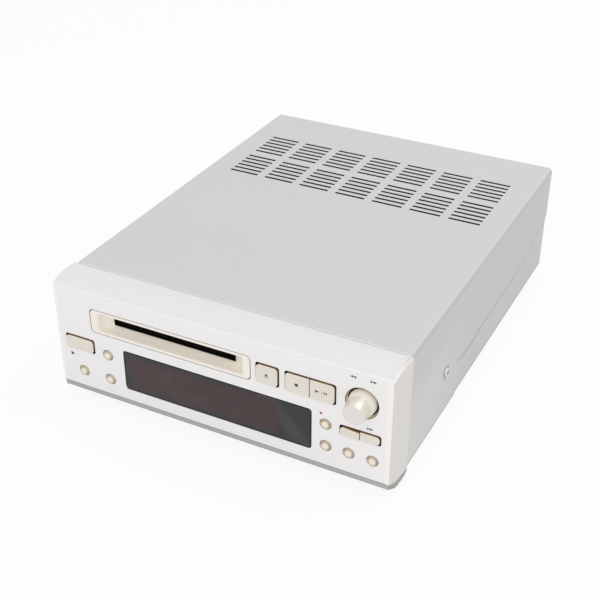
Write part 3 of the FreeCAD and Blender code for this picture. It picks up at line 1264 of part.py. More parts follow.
def spindle_motor():
    """Flat disc motor under the plate."""
    bottom = PLATE_UNDER - 5.2
    slope = 1.2
    body = turned_upright([(bottom, 0.0), (bottom, SPINDLE_RADIUS - slope), (bottom + slope, SPINDLE_RADIUS),
                           (PLATE_UNDER, SPINDLE_RADIUS), (PLATE_UNDER, 0.0)], MECH_X, DISC_DEPTH)
    return body.cut(rod_z(bottom + 1.0, PLATE_UNDER + 1, MECH_X, DISC_DEPTH, 0.8 + RUNNING_GAP))


def disc_turntable():
    """Turntable with its centring cone and the spindle's shaft."""
    rest = PLATE_TOP + 0.4
    top = PLATE_TOP + 5.6
    return turned_upright([
        (PLATE_UNDER - 4.0, 0.0), (PLATE_UNDER - 4.0, 0.8), (rest, 0.8), (rest, 7.6), (rest + 1.2, 7.6),
        (rest + 1.2, 5.4), (top - 1.4, 5.4), (top - 1.4, 4.6), (top, 2.6), (top, 0.0),
    ], MECH_X, DISC_DEPTH)


def sled_rails():
    """Two polished rods that guide the pickup."""
    start = LUG_X - LUG_THICK
    end = MECH_X + FRAME_HALF + MECH_PLATE
    return Part.makeCompound([rod_x(start, end, DISC_DEPTH + side * RAIL_SPREAD, RAIL_Z, RAIL_RADIUS)
                              for side in (-1, 1)])


def pickup_sled():
    """Optical pickup on its rails, with the lens on top and the riser of the head arm."""
    low = RAIL_Z - 2.2
    high = PLATE_UNDER - 0.4
    body = block(SLED_X - SLED_HALF, SLED_X + SLED_HALF, DISC_DEPTH - RAIL_SPREAD - 2.2, SCREW_DEPTH + 2.0,
                 low, high)
    upper = block(SLED_X - SLED_HALF + 0.6, SLED_X + SLED_HALF - 0.6, DISC_DEPTH - NOTCH_HALF + 0.5,
                  DISC_DEPTH + NOTCH_HALF - 0.5, high - 0.5, PLATE_TOP + 2.2)
    lens = rod_z(PLATE_TOP + 2.0, PLATE_TOP + 2.9, SLED_X, DISC_DEPTH, 2.2)
    riser_x = SLED_X + ARM_REACH
    half = 5.0
    bar = block(SLED_X + SLED_HALF - 1, riser_x + 0.8, DISC_DEPTH - half, DISC_DEPTH + half, low, low + 1.6)
    riser = block(riser_x - 0.8, riser_x + 0.8, DISC_DEPTH - half, DISC_DEPTH + half, low, ARM_Z - 2.6)
    ears = []
    ear = 1.6
    for d0 in (DISC_DEPTH - half, DISC_DEPTH + half - ear):
        ears.append(block(riser_x - 0.8, riser_x + 0.8, d0, d0 + ear, ARM_Z - 3.0, ARM_Z))
        ears.append(rod_y(d0, d0 + ear, riser_x, ARM_Z, 2.0))
    sled = body.multiFuse([upper, lens, bar, riser] + ears).removeSplitter()
    bores = [rod_x(SLED_X - 9, SLED_X + 9, DISC_DEPTH + side * RAIL_SPREAD, RAIL_Z, RAIL_RADIUS + RUNNING_GAP)
             for side in (-1, 1)]
    bores.append(rod_x(SLED_X - 9, SLED_X + 9, SCREW_DEPTH, RAIL_Z, SCREW_RADIUS + RUNNING_GAP))
    bores.append(rod_y(DISC_DEPTH - half - 1, DISC_DEPTH + half + 1, riser_x, ARM_Z, 0.8 + RUNNING_GAP))
    return sled.cut(Part.makeCompound(bores))


def head_arm():
    """Magnetic head on its arm, hinged at the riser and reaching over the disc."""
    pivot_x = SLED_X + ARM_REACH
    half = 5.0
    hub = rod_y(DISC_DEPTH - half + 1.9, DISC_DEPTH + half - 1.9, pivot_x, ARM_Z, 1.7)
    pin = rod_y(DISC_DEPTH - half - 0.4, DISC_DEPTH + half + 0.4, pivot_x, ARM_Z, 0.8)
    narrow = 1.8
    wide = 2.9
    outline = [(pivot_x, -wide), (SLED_X - 3.0, -narrow), (SLED_X - 3.0, narrow), (pivot_x, wide)]
    corners = [FreeCAD.Vector(x, depth(DISC_DEPTH + at), ARM_Z - 0.4) for x, at in outline]
    plate = Part.Face(Part.makePolygon(corners + corners[:1])).extrude(FreeCAD.Vector(0, 0, 0.8))
    pad = block(SLED_X - 1.6, SLED_X + 1.6, DISC_DEPTH - 1.5, DISC_DEPTH + 1.5, ARM_Z - 5.0, ARM_Z)
    return hub.multiFuse([pin, plate, pad]).removeSplitter()


def lead_screw():
    """Screw that drives the pickup along its rails."""
    return rod_x(LUG_X - LUG_THICK, MECH_X + FRAME_HALF + MECH_PLATE + 7.0, SCREW_DEPTH, RAIL_Z, SCREW_RADIUS)


# ---------------------------------------------------------------- electronics
def main_board():
    """Main board on the chassis posts, with a wing towards the front on the right."""
    z0 = FLOOR_TOP + MAIN_BOARD_LIFT
    outline = [(BOARD_LEFT, BOARD_FRONT), (WING_LEFT, BOARD_FRONT), (WING_LEFT, WING_FRONT),
               (BOARD_RIGHT, WING_FRONT), (BOARD_RIGHT, BOARD_REAR), (BOARD_LEFT, BOARD_REAR)]
    corners = [FreeCAD.Vector(x, depth(at), z0) for x, at in outline]
    return Part.Face(Part.makePolygon(corners + corners[:1])).extrude(FreeCAD.Vector(0, 0, BOARD_THICK))


def board_components():
    """Upright electrolytic capacitors and flat chip packages on the main board."""
    large = (8.0, 25.0)
    medium = (5.0, 16.0)
    small = (4.0, 12.0)
    cans = (
        (board_place(0.089, 0.796), large),
        (board_place(0.239, 0.809), large),
        (board_place(0.388, 0.676), medium),
        (board_place(0.493, 0.676), medium),
        (board_place(0.912, 0.252), medium),
        (board_place(0.912, 0.358), small),
    )
    bevel = 0.6
    shapes = []
    for place, (radius, height) in cans:
        groove = BOARD_TOP + 0.12 * height
        top = BOARD_TOP + height
        shapes.append(turned_upright([
            (BOARD_TOP, 0.0), (BOARD_TOP, radius), (groove, radius), (groove + bevel, radius - bevel),
            (groove + 2 * bevel, radius), (top - bevel, radius), (top, radius - bevel), (top, 0.0),
        ], *place))
    chips = (
        ((WING_LEFT + 24.0, WING_FRONT + 38.0), 20.0),
        ((WING_LEFT + 36.0, WING_FRONT + 68.0), 14.0),
        (board_place(0.28, 0.186), 24.0),
        (board_place(0.58, 0.186), 14.0),
    )
    for (x, at), side in chips:
        half = side / 2
        shapes.append(block(x - half, x + half, at - half, at + half, BOARD_TOP, BOARD_TOP + 2.4))
    return Part.makeCompound(shapes)


def film_capacitors():
    """Film capacitors in two rows on the main board, with round upright edges."""
    width = 13.0
    thick = 7.0
    height = 22.0
    first_x, first_at = board_place(0.05, 0.42)
    shapes = []
    for row in range(2):
        for column in range(3):
            x = first_x + column * 1.5 * width
            at = first_at + row * 2 * thick
            body = block(x, x + width, at, at + thick, BOARD_TOP, BOARD_TOP + height)
            upright = [edge for edge in body.Edges if abs(edge.BoundBox.ZLength - height) < 1e-6]
            shapes.append(body.makeFillet(1.2, upright))
    return Part.makeCompound(shapes)


def heatsink():
    """Finned heatsink of the regulators."""
    x0, front = board_place(0.64, 0.62)
    base_thick = 3.0
    fin_thick = 1.2
    fin_depth = 12.0
    fins = 9
    pitch = 4.0
    top = BOARD_TOP + 34.0
    back = front + fin_depth
    base = block(x0, x0 + (fins - 1) * pitch + fin_thick, back, back + base_thick, BOARD_TOP, top)
    blades = [block(x0 + i * pitch, x0 + i * pitch + fin_thick, front, back + base_thick / 2, BOARD_TOP, top)
              for i in range(fins)]
    return base.multiFuse(blades).removeSplitter()


def ribbon_cable():
    """Flat cable from the control board that arches under the cover to the main board."""
    start = FRONT_BOARD_DEPTH + BOARD_THICK
    end = board_place(0, 0.557)[1]
    arch = COVER_UNDER - 20.0
    rise = BOARD_FRONT + 12.0
    path = [(start, RIBBON_START_Z), (rise, RIBBON_START_Z), (rise + 26.0, arch), (end - 14.0, arch),
            (end, arch - 18.0), (end, BOARD_TOP)]
    return bent_strip(path, 8.0, *RIBBON_SPAN, RIBBON_THICK)


def transformer_core():
    """Laminated core that stands lengthwise, with two windows and its foot tabs."""
    x = TRANSFORMER_X
    at = TRANSFORMER_DEPTH
    half_x = CORE_THICK / 2
    half_d = CORE_WIDTH / 2
    core = block(x - half_x, x + half_x, at - half_d, at + half_d, FLOOR_TOP, FLOOR_TOP + CORE_HEIGHT)
    windows = []
    for side in (-1, 1):
        d0, d1 = sorted((at + side * CORE_LEG / 2, at + side * (half_d - YOKE)))
        windows.append(block(x - CORE_THICK, x + CORE_THICK, d0, d1,
                             FLOOR_TOP + YOKE, FLOOR_TOP + CORE_HEIGHT - YOKE))
    reach = half_d + CORE_TAB
    tab_half = 5.0
    tab_thick = 1.2
    tab = block(x - tab_half, x + tab_half, at - reach, at + reach, FLOOR_TOP, FLOOR_TOP + tab_thick)
    return core.cut(Part.makeCompound(windows)).fuse(tab).removeSplitter()


def transformer_winding():
    """Taped winding round the core's middle leg."""
    x = TRANSFORMER_X
    at = TRANSFORMER_DEPTH
    z0 = FLOOR_TOP + YOKE + WINDING_GAP
    z1 = FLOOR_TOP + CORE_HEIGHT - YOKE - WINDING_GAP
    body = block(x - WINDING_HALF_WIDTH, x + WINDING_HALF_WIDTH, at - WINDING_HALF_DEPTH,
                 at + WINDING_HALF_DEPTH, z0, z1)
    upright = [edge for edge in body.Edges if abs(edge.BoundBox.ZLength - (z1 - z0)) < 1e-6]
    body = body.makeFillet(3.0, upright)
    leg_x = CORE_THICK / 2 + WINDING_GAP
    leg_d = CORE_LEG / 2 + WINDING_GAP
    leg = block(x - leg_x, x + leg_x, at - leg_d, at + leg_d, z0 - 1, z1 + 1)
    return body.cut(leg)


# ---------------------------------------------------------------- output
NODES = {
    "fascia_panel": fascia_panel,
    "end_cap_left": lambda: end_cap(-1),
    "end_cap_right": lambda: end_cap(1),
    "standby_lens": standby_lens,
    "slot_bezel": slot_bezel,
    "slot_flap": slot_flap,
    "display_window": display_window,
    "display_tube": display_tube,
    "display_holder": display_holder,
    "knob_dish": knob_dish,
    "jog_knob": jog_knob,
    "encoder_shaft": encoder_shaft,
    "encoder_rotor": encoder_rotor,
    "encoder_body": encoder_body,
    "front_board": front_board,
    "tact_switches": tact_switches,
    "top_cover": top_cover,
    "cover_screws": cover_screws,
    "chassis_tray": chassis_tray,
    "feet": feet,
    "front_bracket": front_bracket,
    "rear_panel": rear_panel,
    "phono_jacks": phono_jacks,
    "phono_block": phono_block,
    "optical_jacks": optical_jacks,
    "mains_inlet": mains_inlet,
    "mech_frame": mech_frame,
    "mech_brackets": mech_brackets,
    "mech_dampers": mech_dampers,
    "cartridge_holder": cartridge_holder,
    "loading_slider": loading_slider,
    "loading_gear": loading_gear,
    "loading_pinion": loading_pinion,
    "mech_motors": mech_motors,
    "spindle_motor": spindle_motor,
    "disc_turntable": disc_turntable,
    "sled_rails": sled_rails,
    "pickup_sled": pickup_sled,
    "head_arm": head_arm,
    "lead_screw": lead_screw,
    "main_board": main_board,
    "board_components": board_components,
    "film_capacitors": film_capacitors,
    "heatsink": heatsink,
    "ribbon_cable": ribbon_cable,
    "transformer_core": transformer_core,
    "transformer_winding": transformer_winding,
}


def main():
    """Write one STEP file for each node."""
    os.makedirs("parts", exist_ok=True)
    shapes = {name: build() for name, build in NODES.items()}
    shapes.update({name: key_button(*place) for name, place in KEYS.items()})
    shapes.update({name: round_button(*place) for name, place in ROUND_BUTTONS.items()})
    for name, shape in shapes.items():
        shape.exportStep(f"parts/{name}.step")


main()
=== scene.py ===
import json
import math

import bmesh
import bpy
import numpy as np
from mathutils import Matrix, Vector


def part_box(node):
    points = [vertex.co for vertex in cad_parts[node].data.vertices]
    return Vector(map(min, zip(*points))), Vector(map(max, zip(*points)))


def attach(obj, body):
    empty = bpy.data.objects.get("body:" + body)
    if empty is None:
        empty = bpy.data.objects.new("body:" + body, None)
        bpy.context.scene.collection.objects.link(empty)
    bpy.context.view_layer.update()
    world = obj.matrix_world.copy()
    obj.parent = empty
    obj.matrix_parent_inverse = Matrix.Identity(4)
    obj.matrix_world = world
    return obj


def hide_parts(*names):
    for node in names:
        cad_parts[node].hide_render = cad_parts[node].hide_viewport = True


bl_info = {
    "name": "Disc Deck Looks",
    "version": (1, 0, 0),
    "blender": (4, 5, 0),
    "location": "3D Viewport > Sidebar > Deck",
    "description": "Surfaces, finishes, light and camera of a slot-loading disc deck",
    "category": "Object",
}

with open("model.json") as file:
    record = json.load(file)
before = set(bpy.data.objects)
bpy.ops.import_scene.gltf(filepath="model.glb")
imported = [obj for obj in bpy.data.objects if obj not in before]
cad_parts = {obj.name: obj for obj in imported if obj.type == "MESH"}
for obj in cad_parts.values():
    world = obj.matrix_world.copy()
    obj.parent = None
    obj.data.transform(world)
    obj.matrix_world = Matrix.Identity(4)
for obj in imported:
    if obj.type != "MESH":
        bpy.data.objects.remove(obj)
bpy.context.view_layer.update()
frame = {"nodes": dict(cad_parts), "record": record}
MM = 0.001


def box_mm(node):
    """Lowest and highest corner of a CAD node, in millimetres."""
    low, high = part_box(node)
    return np.array(low) / MM, np.array(high) / MM


def middle(node):
    """X and z of the middle of a CAD node, in millimetres."""
    low, high = box_mm(node)
    return (low[0] + high[0]) / 2, (low[2] + high[2]) / 2


def extent(node):
    """Width and height of a CAD node, and the depths of its front and its back, in millimetres."""
    low, high = box_mm(node)
    return high[0] - low[0], high[2] - low[2], low[1] - FACE_Y, high[1] - FACE_Y


# Lengths are in millimetres, and depths count backwards from the face.
FACE_Y = box_mm("fascia_panel")[0][1]
BAND_BACK = box_mm("fascia_panel")[1][1]
CREASE_Z, SOLE_Z = 76.1, 11.0  # upper and lower edge of the flat face
CAP_X = box_mm("end_cap_right")[1][0]
CAP_FLARE = 0.9  # how much further out an end moulding is at its back
KEY_FRONT, ROUND_FRONT = -1.25, -1.2  # depths of the tops of keys and round buttons
FLANGE_DEPTH, FLANGE_THICK = 2.65, 1.0  # the rim that holds a key behind the fascia
LIP_DEPTH, LIP_HEIGHT, LIP_RADIUS = 15.73, 19.96, 18.1  # centre and radius of the lip's arc
PRESSED_FRONT, PRESSED_BEND, PRESSED_Z = -35.3, 68.25, 27.6  # the line pressed into the cover's sides
PANE_FLANGE = 1.25
WHITE = (1.0, 1.0, 1.0, 1.0)
FLOOR_GLOW = 0.9  # share of plain white in the floor as it is seen
WORLD_LIGHT = 0.62
LAMPS = (("soft_front", (0.15, -1.5, 1.05), 1.4, 7.5), ("soft_right", (1.3, -0.5, 0.75), 1.2, 0.8),
         ("soft_top", (0.55, 0.5, 1.4), 0.8, 5.0))
CAMERA_PLACE = (0.25658, -0.53425, 0.38859)
CAMERA_ANGLES = (27.030, 31.817, 0.0993)  # azimuth, elevation and roll in degrees
CAMERA_LENS, CAMERA_SENSOR = 66.176, 36.0


def colour(red, green, blue):
    """Linear RGBA of a colour that is given as it looks, in steps of 255."""
    values = np.array([red, green, blue]) / 255
    linear = np.where(values <= 0.04045, values / 12.92, ((values + 0.055) / 1.055) ** 2.4)
    return (*linear.tolist(), 1.0)


# ---- settings
def colour_setting(name, description, looks):
    """A colour that a user may change."""
    return bpy.props.FloatVectorProperty(name=name, description=description, subtype="COLOR", size=4,
                                         min=0.0, max=1.0, default=colour(*looks))


def length_setting(name, description, millimetres):
    """A length that a user may change, kept in metres."""
    return bpy.props.FloatProperty(name=name, description=description, unit="LENGTH", precision=5,
                                   min=0.0, default=millimetres * MM)


class DeckColours(bpy.types.PropertyGroup):
    """Colours of the surfaces that show most."""
    cover: colour_setting("Cover", "Paint of the folded cover", (216, 215, 215))
    face: colour_setting("Face", "Lacquer of the flat face", (245, 243, 242))
    band: colour_setting("Band", "Cooler lacquer of the curved top band", (236, 235, 237))
    trim: colour_setting("Trim", "Champagne lacquer of the end mouldings", (222, 216, 210))
    bezel: colour_setting("Bezel", "Champagne lacquer of the slot's surround", (236, 228, 215))
    key: colour_setting("Key", "Champagne lacquer of the keys", (230, 223, 212))
    knob: colour_setting("Knob", "Turned metal of the knob", (228, 222, 208))
    window: colour_setting("Window", "Smoked window in front of the display", (14, 13, 15))
    tube: colour_setting("Tube", "Reddish field of the display behind its window", (46, 15, 18))
    symbol: colour_setting("Symbol", "Print of the symbols", (58, 54, 54))
    record: colour_setting("Record", "Print of the record dot", (186, 70, 74))


class DeckSizes(bpy.types.PropertyGroup):
    """Sizes of the modelled details."""
    key_edge: length_setting("Key edge", "Rounding of a key's front edge", 0.7)
    key_corner: length_setting("Key corner", "Corner radius of a key", 2.0)
    bezel_gap: length_setting("Bezel gap", "Dark joint round the slot's surround", 0.45)
    bezel_edge: length_setting("Bezel edge", "Rounding of the slot's surround", 0.4)
    # the grey of this moulding is painted shade
    lip_drop: length_setting("Lip drop", "How far the grey moulding hangs below the face", 3.0)
    symbol_size: length_setting("Symbol size", "Height of a printed symbol", 1.5)
    print_depth: length_setting("Print depth", "Thickness of the print", 0.03)
    floor_size: length_setting("Floor size", "Side of the floor", 6000.0)


# ---- shader maths
class Term:
    """One value in a shader: arithmetic on it adds Math nodes."""

    def __init__(self, nodes, socket):
        self.nodes = nodes
        self.socket = socket

    def _math(self, operation, *values):
        node = self.nodes.node("ShaderNodeMath", {"operation": operation}, dict(enumerate(values)))
        return Term(self.nodes, node.outputs[0])

    def __add__(self, other):
        return self._math("ADD", self, other)

    __radd__ = __add__

    def __sub__(self, other):
        return self._math("SUBTRACT", self, other)

    def __rsub__(self, other):
        return self._math("SUBTRACT", other, self)

    def __mul__(self, other):
        return self._math("MULTIPLY", self, other)

    __rmul__ = __mul__

    def __truediv__(self, other):
        return self._math("DIVIDE", self, other)

    def __pow__(self, other):
        return self._math("POWER", self, other)

    def __abs__(self):
        return self._math("ABSOLUTE", self)

    def at_least(self, other):
        """The larger of two values."""
        return self._math("MAXIMUM", self, other)

    def part(self):
        """What is left of a value after its whole number."""
        return self._math("FRACT", self)

    def rise(self, low, high):
        """0 below one value and 1 above another, with a smooth step between them."""
        node = self.nodes.node("ShaderNodeMapRange", {"interpolation_type": "SMOOTHSTEP"},
                               {0: self, 1: low, 2: high})
        return Term(self.nodes, node.outputs[0])

    def within(self, low, high, soft):
        """1 between two values and 0 outside, with smooth steps."""
        return self.rise(low - soft, low + soft) * (1 - self.rise(high - soft, high + soft))


class Nodes:
    """The node tree of a material or a world, with the one way to add to it."""

    def __init__(self, tree):
        self.tree = tree

    def node(self, kind, settings, inputs):
        """A node of one kind, with its settings and its inputs."""
        node = self.tree.nodes.new(kind)
        for key, value in settings.items():
            setattr(node, key, value)
        for key, value in inputs.items():
            self.feed(node.inputs[key], value)
        return node

    def feed(self, socket, value):
        """Link or set one input."""
        if isinstance(value, Term):
            value = value.socket
        if isinstance(value, bpy.types.NodeSocket):
            self.tree.links.new(value, socket)
        else:
            socket.default_value = value

    def seen(self):
        """1 where a ray comes from the camera, a reflection or a refraction, and 0 for plain light."""
        path = self.node("ShaderNodeLightPath", {}, {})
        camera, glossy, through = (Term(self, path.outputs[f"Is {ray} Ray"])
                                   for ray in ("Camera", "Glossy", "Transmission"))
        return camera.at_least(glossy).at_least(through)


class Paint(Nodes):
    """A material in the making, with a Principled shader at its end."""

    def __init__(self, name, **constants):
        self.material = bpy.data.materials.new(name)
        self.material.use_nodes = True
        super().__init__(self.material.node_tree)
        self.shader = self.tree.nodes["Principled BSDF"]
        for socket, value in constants.items():
            self.shader.inputs[socket.replace("_", " ")].default_value = value

    def set(self, **inputs):
        """Link what varies over the surface to the shader."""
        for name, value in inputs.items():
            self.feed(self.shader.inputs[name.replace("_", " ")], value)
        return self

    def finished(self, base, rough, height=None, depth=0.0, **more):
        """The material with its colour, roughness and relief, and whatever else varies."""
        if height is not None:
            more["Normal"] = self.relief(height, depth)
        return self.set(Base_Color=base, Roughness=rough, **more).material

    def where(self):
        """The Object coordinates, as a vector socket in metres."""
        return self.node("ShaderNodeTexCoord", {}, {}).outputs["Object"]

    def place(self):
        """X, Y and Z of the shaded point, in millimetres."""
        split = self.node("ShaderNodeSeparateXYZ", {}, {0: self.where()})
        return [Term(self, split.outputs[i]) * 1000.0 for i in range(3)]

    def stretched(self, size, stretch=(1, 1, 1)):
        """Coordinates in which a pattern's features are so many millimetres long, times a stretch."""
        scale = [1000.0 / size / s for s in stretch]
        return self.node("ShaderNodeMapping", {}, {"Vector": self.where(), "Scale": scale}).outputs[0]

    def noise(self, size, detail=2.0, stretch=(1, 1, 1)):
        """Cloudy noise about 0.5, with features of a size in millimetres."""
        node = self.node("ShaderNodeTexNoise", {}, {"Vector": self.stretched(size, stretch),
                                                    "Scale": 1.0, "Detail": detail})
        return Term(self, node.outputs[0])

    def cells(self, size):
        """Cells of a size in millimetres, each with its own shade from 0 to 1."""
        node = self.node("ShaderNodeTexVoronoi", {}, {"Vector": self.stretched(size), "Scale": 1.0})
        split = self.node("ShaderNodeSeparateColor", {}, {0: node.outputs["Color"]})
        return Term(self, split.outputs[0])

    def mix(self, first, second, share):
        """The first colour, with a share of the second over it."""
        node = self.node("ShaderNodeMix", {"data_type": "RGBA"}, {0: share, 6: first, 7: second})
        return node.outputs[2]

    def shade(self, base, spread, value):
        """A colour that gets darker and lighter by a spread as a value goes from 0 to 1."""
        tone = [[c * (1 + side * spread) for c in base[:3]] + [1.0] for side in (-1, 1)]
        return self.mix(tone[0], tone[1], value)

    def relief(self, height, depth):
        """A normal bent by a height from 0 to 1 that stands for a depth in millimetres."""
        node = self.node("ShaderNodeBump", {}, {"Strength": 1.0, "Distance": depth * MM, "Height": height})
        return node.outputs[0]


# ---- finishes of the outside
def cover_paint(colours):
    """Textured grey paint with faint clouds and rubbed specks; painted shade on the sides, under the top
    fold, along the bottom edge and inside the slots, a painted highlight on the front edge, and a painted
    soft shade where the sides are pressed in, along a line that dips, rises and sweeps up at the back."""
    paint = Paint("cover_paint", IOR=1.45)
    low, high = box_mm("top_cover")
    x, y, z = paint.place()
    clouds = paint.noise(70.0, 3.0)
    grain = paint.noise(0.9, 3.0)
    specks = paint.noise(7.0, 4.0).rise(0.71, 0.76)
    base = paint.shade(colours.cover, 0.03, clouds * 0.6 + grain * 0.4)
    base = paint.mix(base, colour(182, 179, 176), specks * 0.35)
    side = abs(x).rise(high[0] - 1.1, high[0] - 0.5)
    sweep = ((y - PRESSED_BEND) / (high[1] - PRESSED_BEND)).at_least(0.0)
    along = y - PRESSED_FRONT
    line = z - PRESSED_Z + 1.8 * along.rise(0.0, 16.0) - 3.3 * along.rise(16.0, 75.0) - 13.0 * sweep ** 1.9
    # painted shade: the sides darker than the top, except low at the front, where they stay lighter
    base = paint.mix(base, colour(204, 204, 205), side * y.rise(-110.0, 0.0).at_least(z.rise(30.0, 65.0)))
    # painted shade on the sides just under the bend at the top
    fold_shade = z.within(high[2] - 3.4, high[2] - 1.6, 0.8) * side
    base = paint.mix(base, colour(172, 171, 172), 0.35 * fold_shade)
    # painted shade along the pressed line on the sides
    groove = line.within(-1.5, 1.0, 0.9) * along.rise(-1.0, 3.0) * side
    base = paint.mix(base, colour(150, 149, 149), 0.4 * groove)
    # painted shadow: a dark line along the bottom edge of the sides
    base = paint.mix(base, colour(84, 83, 82), side * (1 - z.rise(low[2] + 0.35, low[2] + 0.7)))
    # painted shade: the slot walls and the inside of the top are dark, away from the outer edges and the
    # band
    inside = (1 - abs(x).rise(high[0] - 3.6, high[0] - 3.4)) * (1 - z.rise(high[2] - 0.25, high[2] - 0.1))
    inside = inside * (1 - y.rise(high[1] - 1.3, high[1] - 1.0))
    inside = inside * y.rise(BAND_BACK + 1.1, BAND_BACK + 1.3)
    base = paint.mix(base, colour(46, 45, 44), inside)
    # painted highlight along the front edge of the top, where it meets the band
    edge = (1 - y.rise(BAND_BACK + 0.6, BAND_BACK + 0.9)) * z.rise(high[2] - 1.2, high[2] - 1.0)
    base = paint.mix(base, colour(240, 241, 237), edge)
    return paint.finished(base, 0.44 + 0.16 * grain, grain + 0.5 * paint.noise(0.4), 0.012)


def on_lip(y, z):
    """1 on the rolled lip under the face: near the arc z = height - (radius^2 - (depth - middle)^2)^0.5."""
    arc = (LIP_RADIUS ** 2 - (y - FACE_Y - LIP_DEPTH) ** 2).at_least(0.0) ** 0.5
    return 1 - (z + arc - LIP_HEIGHT).rise(0.35, 0.75)


def front_lacquer(colours):
    """Silver lacquer: a warmer face and a cooler top band, a painted highlight along the crease, painted
    shade in grey on the lip and painted shade in the holes.
    """
    paint = Paint("front_lacquer", IOR=1.5, Coat_Roughness=0.12)
    _, y, z = paint.place()
    flakes = paint.cells(0.35)
    grain = paint.noise(1.4, 3.0, (2.5, 1, 1))
    face = paint.shade(colours.face, 0.012, paint.noise(40.0) * 0.6 + flakes * 0.4)
    band = paint.shade(colours.band, 0.035, flakes * 0.5 + grain * 0.5)
    top = z.rise(CREASE_Z - 0.15, CREASE_Z + 0.25)
    base = paint.mix(face, band, top)
    # painted highlight along the crease
    base = paint.mix(base, colour(250, 250, 252), 0.8 * z.within(CREASE_Z - 0.1, CREASE_Z + 0.25, 0.12))
    # painted shade: the walls of the holes behind the face are dark
    behind = (y - FACE_Y).rise(0.12, 0.5) * z.within(SOLE_Z + 0.8, CREASE_Z - 0.8, 0.2)
    base = paint.mix(base, colour(66, 54, 44), behind)
    # painted shade: the lip under the face is grey
    lip = on_lip(y, z)
    base = paint.mix(base, colour(158, 157, 156), lip)
    plain = (1 - behind) * (1 - lip)
    return paint.finished(base, 0.36 + 0.14 * flakes + 0.4 * lip, flakes, 0.003, Metallic=0.1 * top,
                          Coat_Weight=0.3 * plain)


def trim_lacquer(colours):
    """Champagne lacquer of the end mouldings: painted highlights on the front, the crease and the ridge,
    and painted shade in grey on the lip and along the bottom.
    """
    paint = Paint("trim_lacquer", IOR=1.5)
    x, y, z = paint.place()
    deep = y - FACE_Y
    flakes = paint.cells(0.3)
    soft = paint.noise(11.0, 3.0)
    base = paint.shade(colours.trim, 0.025, 0.5 * flakes + 0.5 * soft)
    base = paint.mix(base, colour(230, 216, 208), 0.7 * deep.within(1.2, 4.2, 0.9))
    from_side = abs(x) - (CAP_X - CAP_FLARE) - CAP_FLARE * deep / (BAND_BACK - FACE_Y)
    top = z.rise(CREASE_Z - 0.15, CREASE_Z + 0.25) * (1 - from_side.rise(-0.5, -0.3))
    warm = from_side.rise(-2.0, -1.2) * deep.rise(8.0, 18.0)
    band = paint.mix(colours.band, colour(224, 218, 204), warm)
    base = paint.mix(base, band, top)
    # painted highlight on the rounded ridge between top and side
    ridge_highlight = from_side.within(-0.5, -0.1, 0.12) * z.rise(CREASE_Z - 1.2, CREASE_Z - 0.4)
    base = paint.mix(base, colour(250, 245, 235), ridge_highlight)
    # painted highlight: the front of the moulding paler than its side
    base = paint.mix(base, colour(250, 247, 244), 1 - deep.rise(0.25, 0.9))
    # painted highlight along the crease
    base = paint.mix(base, colour(252, 251, 248), 0.8 * z.within(CREASE_Z - 0.1, CREASE_Z + 0.25, 0.12))
    # painted shade: grey on the lip and in a band along the bottom of the side
    foot = SOLE_Z - 3.1 * deep.rise(0.0, 9.0) - 0.12 * (deep - 8.0).at_least(0.0)
    lip = on_lip(y, z).at_least(1 - (z - foot).rise(-0.12, 0.12))
    base = paint.mix(base, colour(170, 169, 167), lip)
    return paint.finished(base, 0.3 + 0.16 * soft + 0.3 * lip, flakes, 0.003,
                          Coat_Weight=(0.2 + 0.2 * flakes) * (1 - lip))


def bezel_lacquer(colours):
    """Champagne lacquer of the surround: a painted highlight on the front, painted light paler towards the
    slot, and painted shade dark inside it.
    """
    paint = Paint("bezel_lacquer", IOR=1.5)
    _, y, _ = paint.place()
    deep = y - FACE_Y
    flakes = paint.cells(0.3)
    soft = paint.noise(9.0, 3.0)
    base = paint.shade(colours.bezel, 0.025, 0.4 * flakes + 0.6 * soft)
    # painted light: paler towards the slot, where the shade falls
    base = paint.mix(base, colour(253, 246, 232), 0.9 * deep.rise(1.0, 5.0))
    # painted highlight on the front face
    base = paint.mix(base, colour(250, 243, 233), 1 - deep.rise(0.1, 0.7))
    # painted shade: dark in the throat of the slot
    dark = deep.rise(5.75, 5.95)
    base = paint.mix(base, colour(16, 13, 10), dark)
    return paint.finished(base, 0.3 + 0.14 * soft, flakes, 0.003, Coat_Weight=0.25 * (1 - dark))


def key_lacquer(colours):
    """Champagne lacquer on a key: a painted highlight on the front edge, and painted shade, tan and then
    brown, on the walls.
    """
    paint = Paint("key_lacquer", IOR=1.5)
    _, y, _ = paint.place()
    behind = y - FACE_Y - KEY_FRONT
    flakes = paint.cells(0.28)
    soft = paint.noise(5.0, 3.0)
    base = paint.shade(colours.key, 0.035, 0.5 * flakes + 0.5 * soft)
    # painted highlight on the rounded front edge
    base = paint.mix(base, colour(253, 245, 230), 0.9 * behind.within(0.04, 0.36, 0.05))
    # painted shade on the walls: tan, then brown further back
    base = paint.mix(base, colour(218, 190, 156), behind.rise(0.36, 0.5))
    wall = behind.rise(0.7, 1.05)
    base = paint.mix(base, colour(136, 108, 80), wall)
    return paint.finished(base, 0.34 + 0.16 * soft, flakes, 0.003, Coat_Weight=0.3 * (1 - wall))


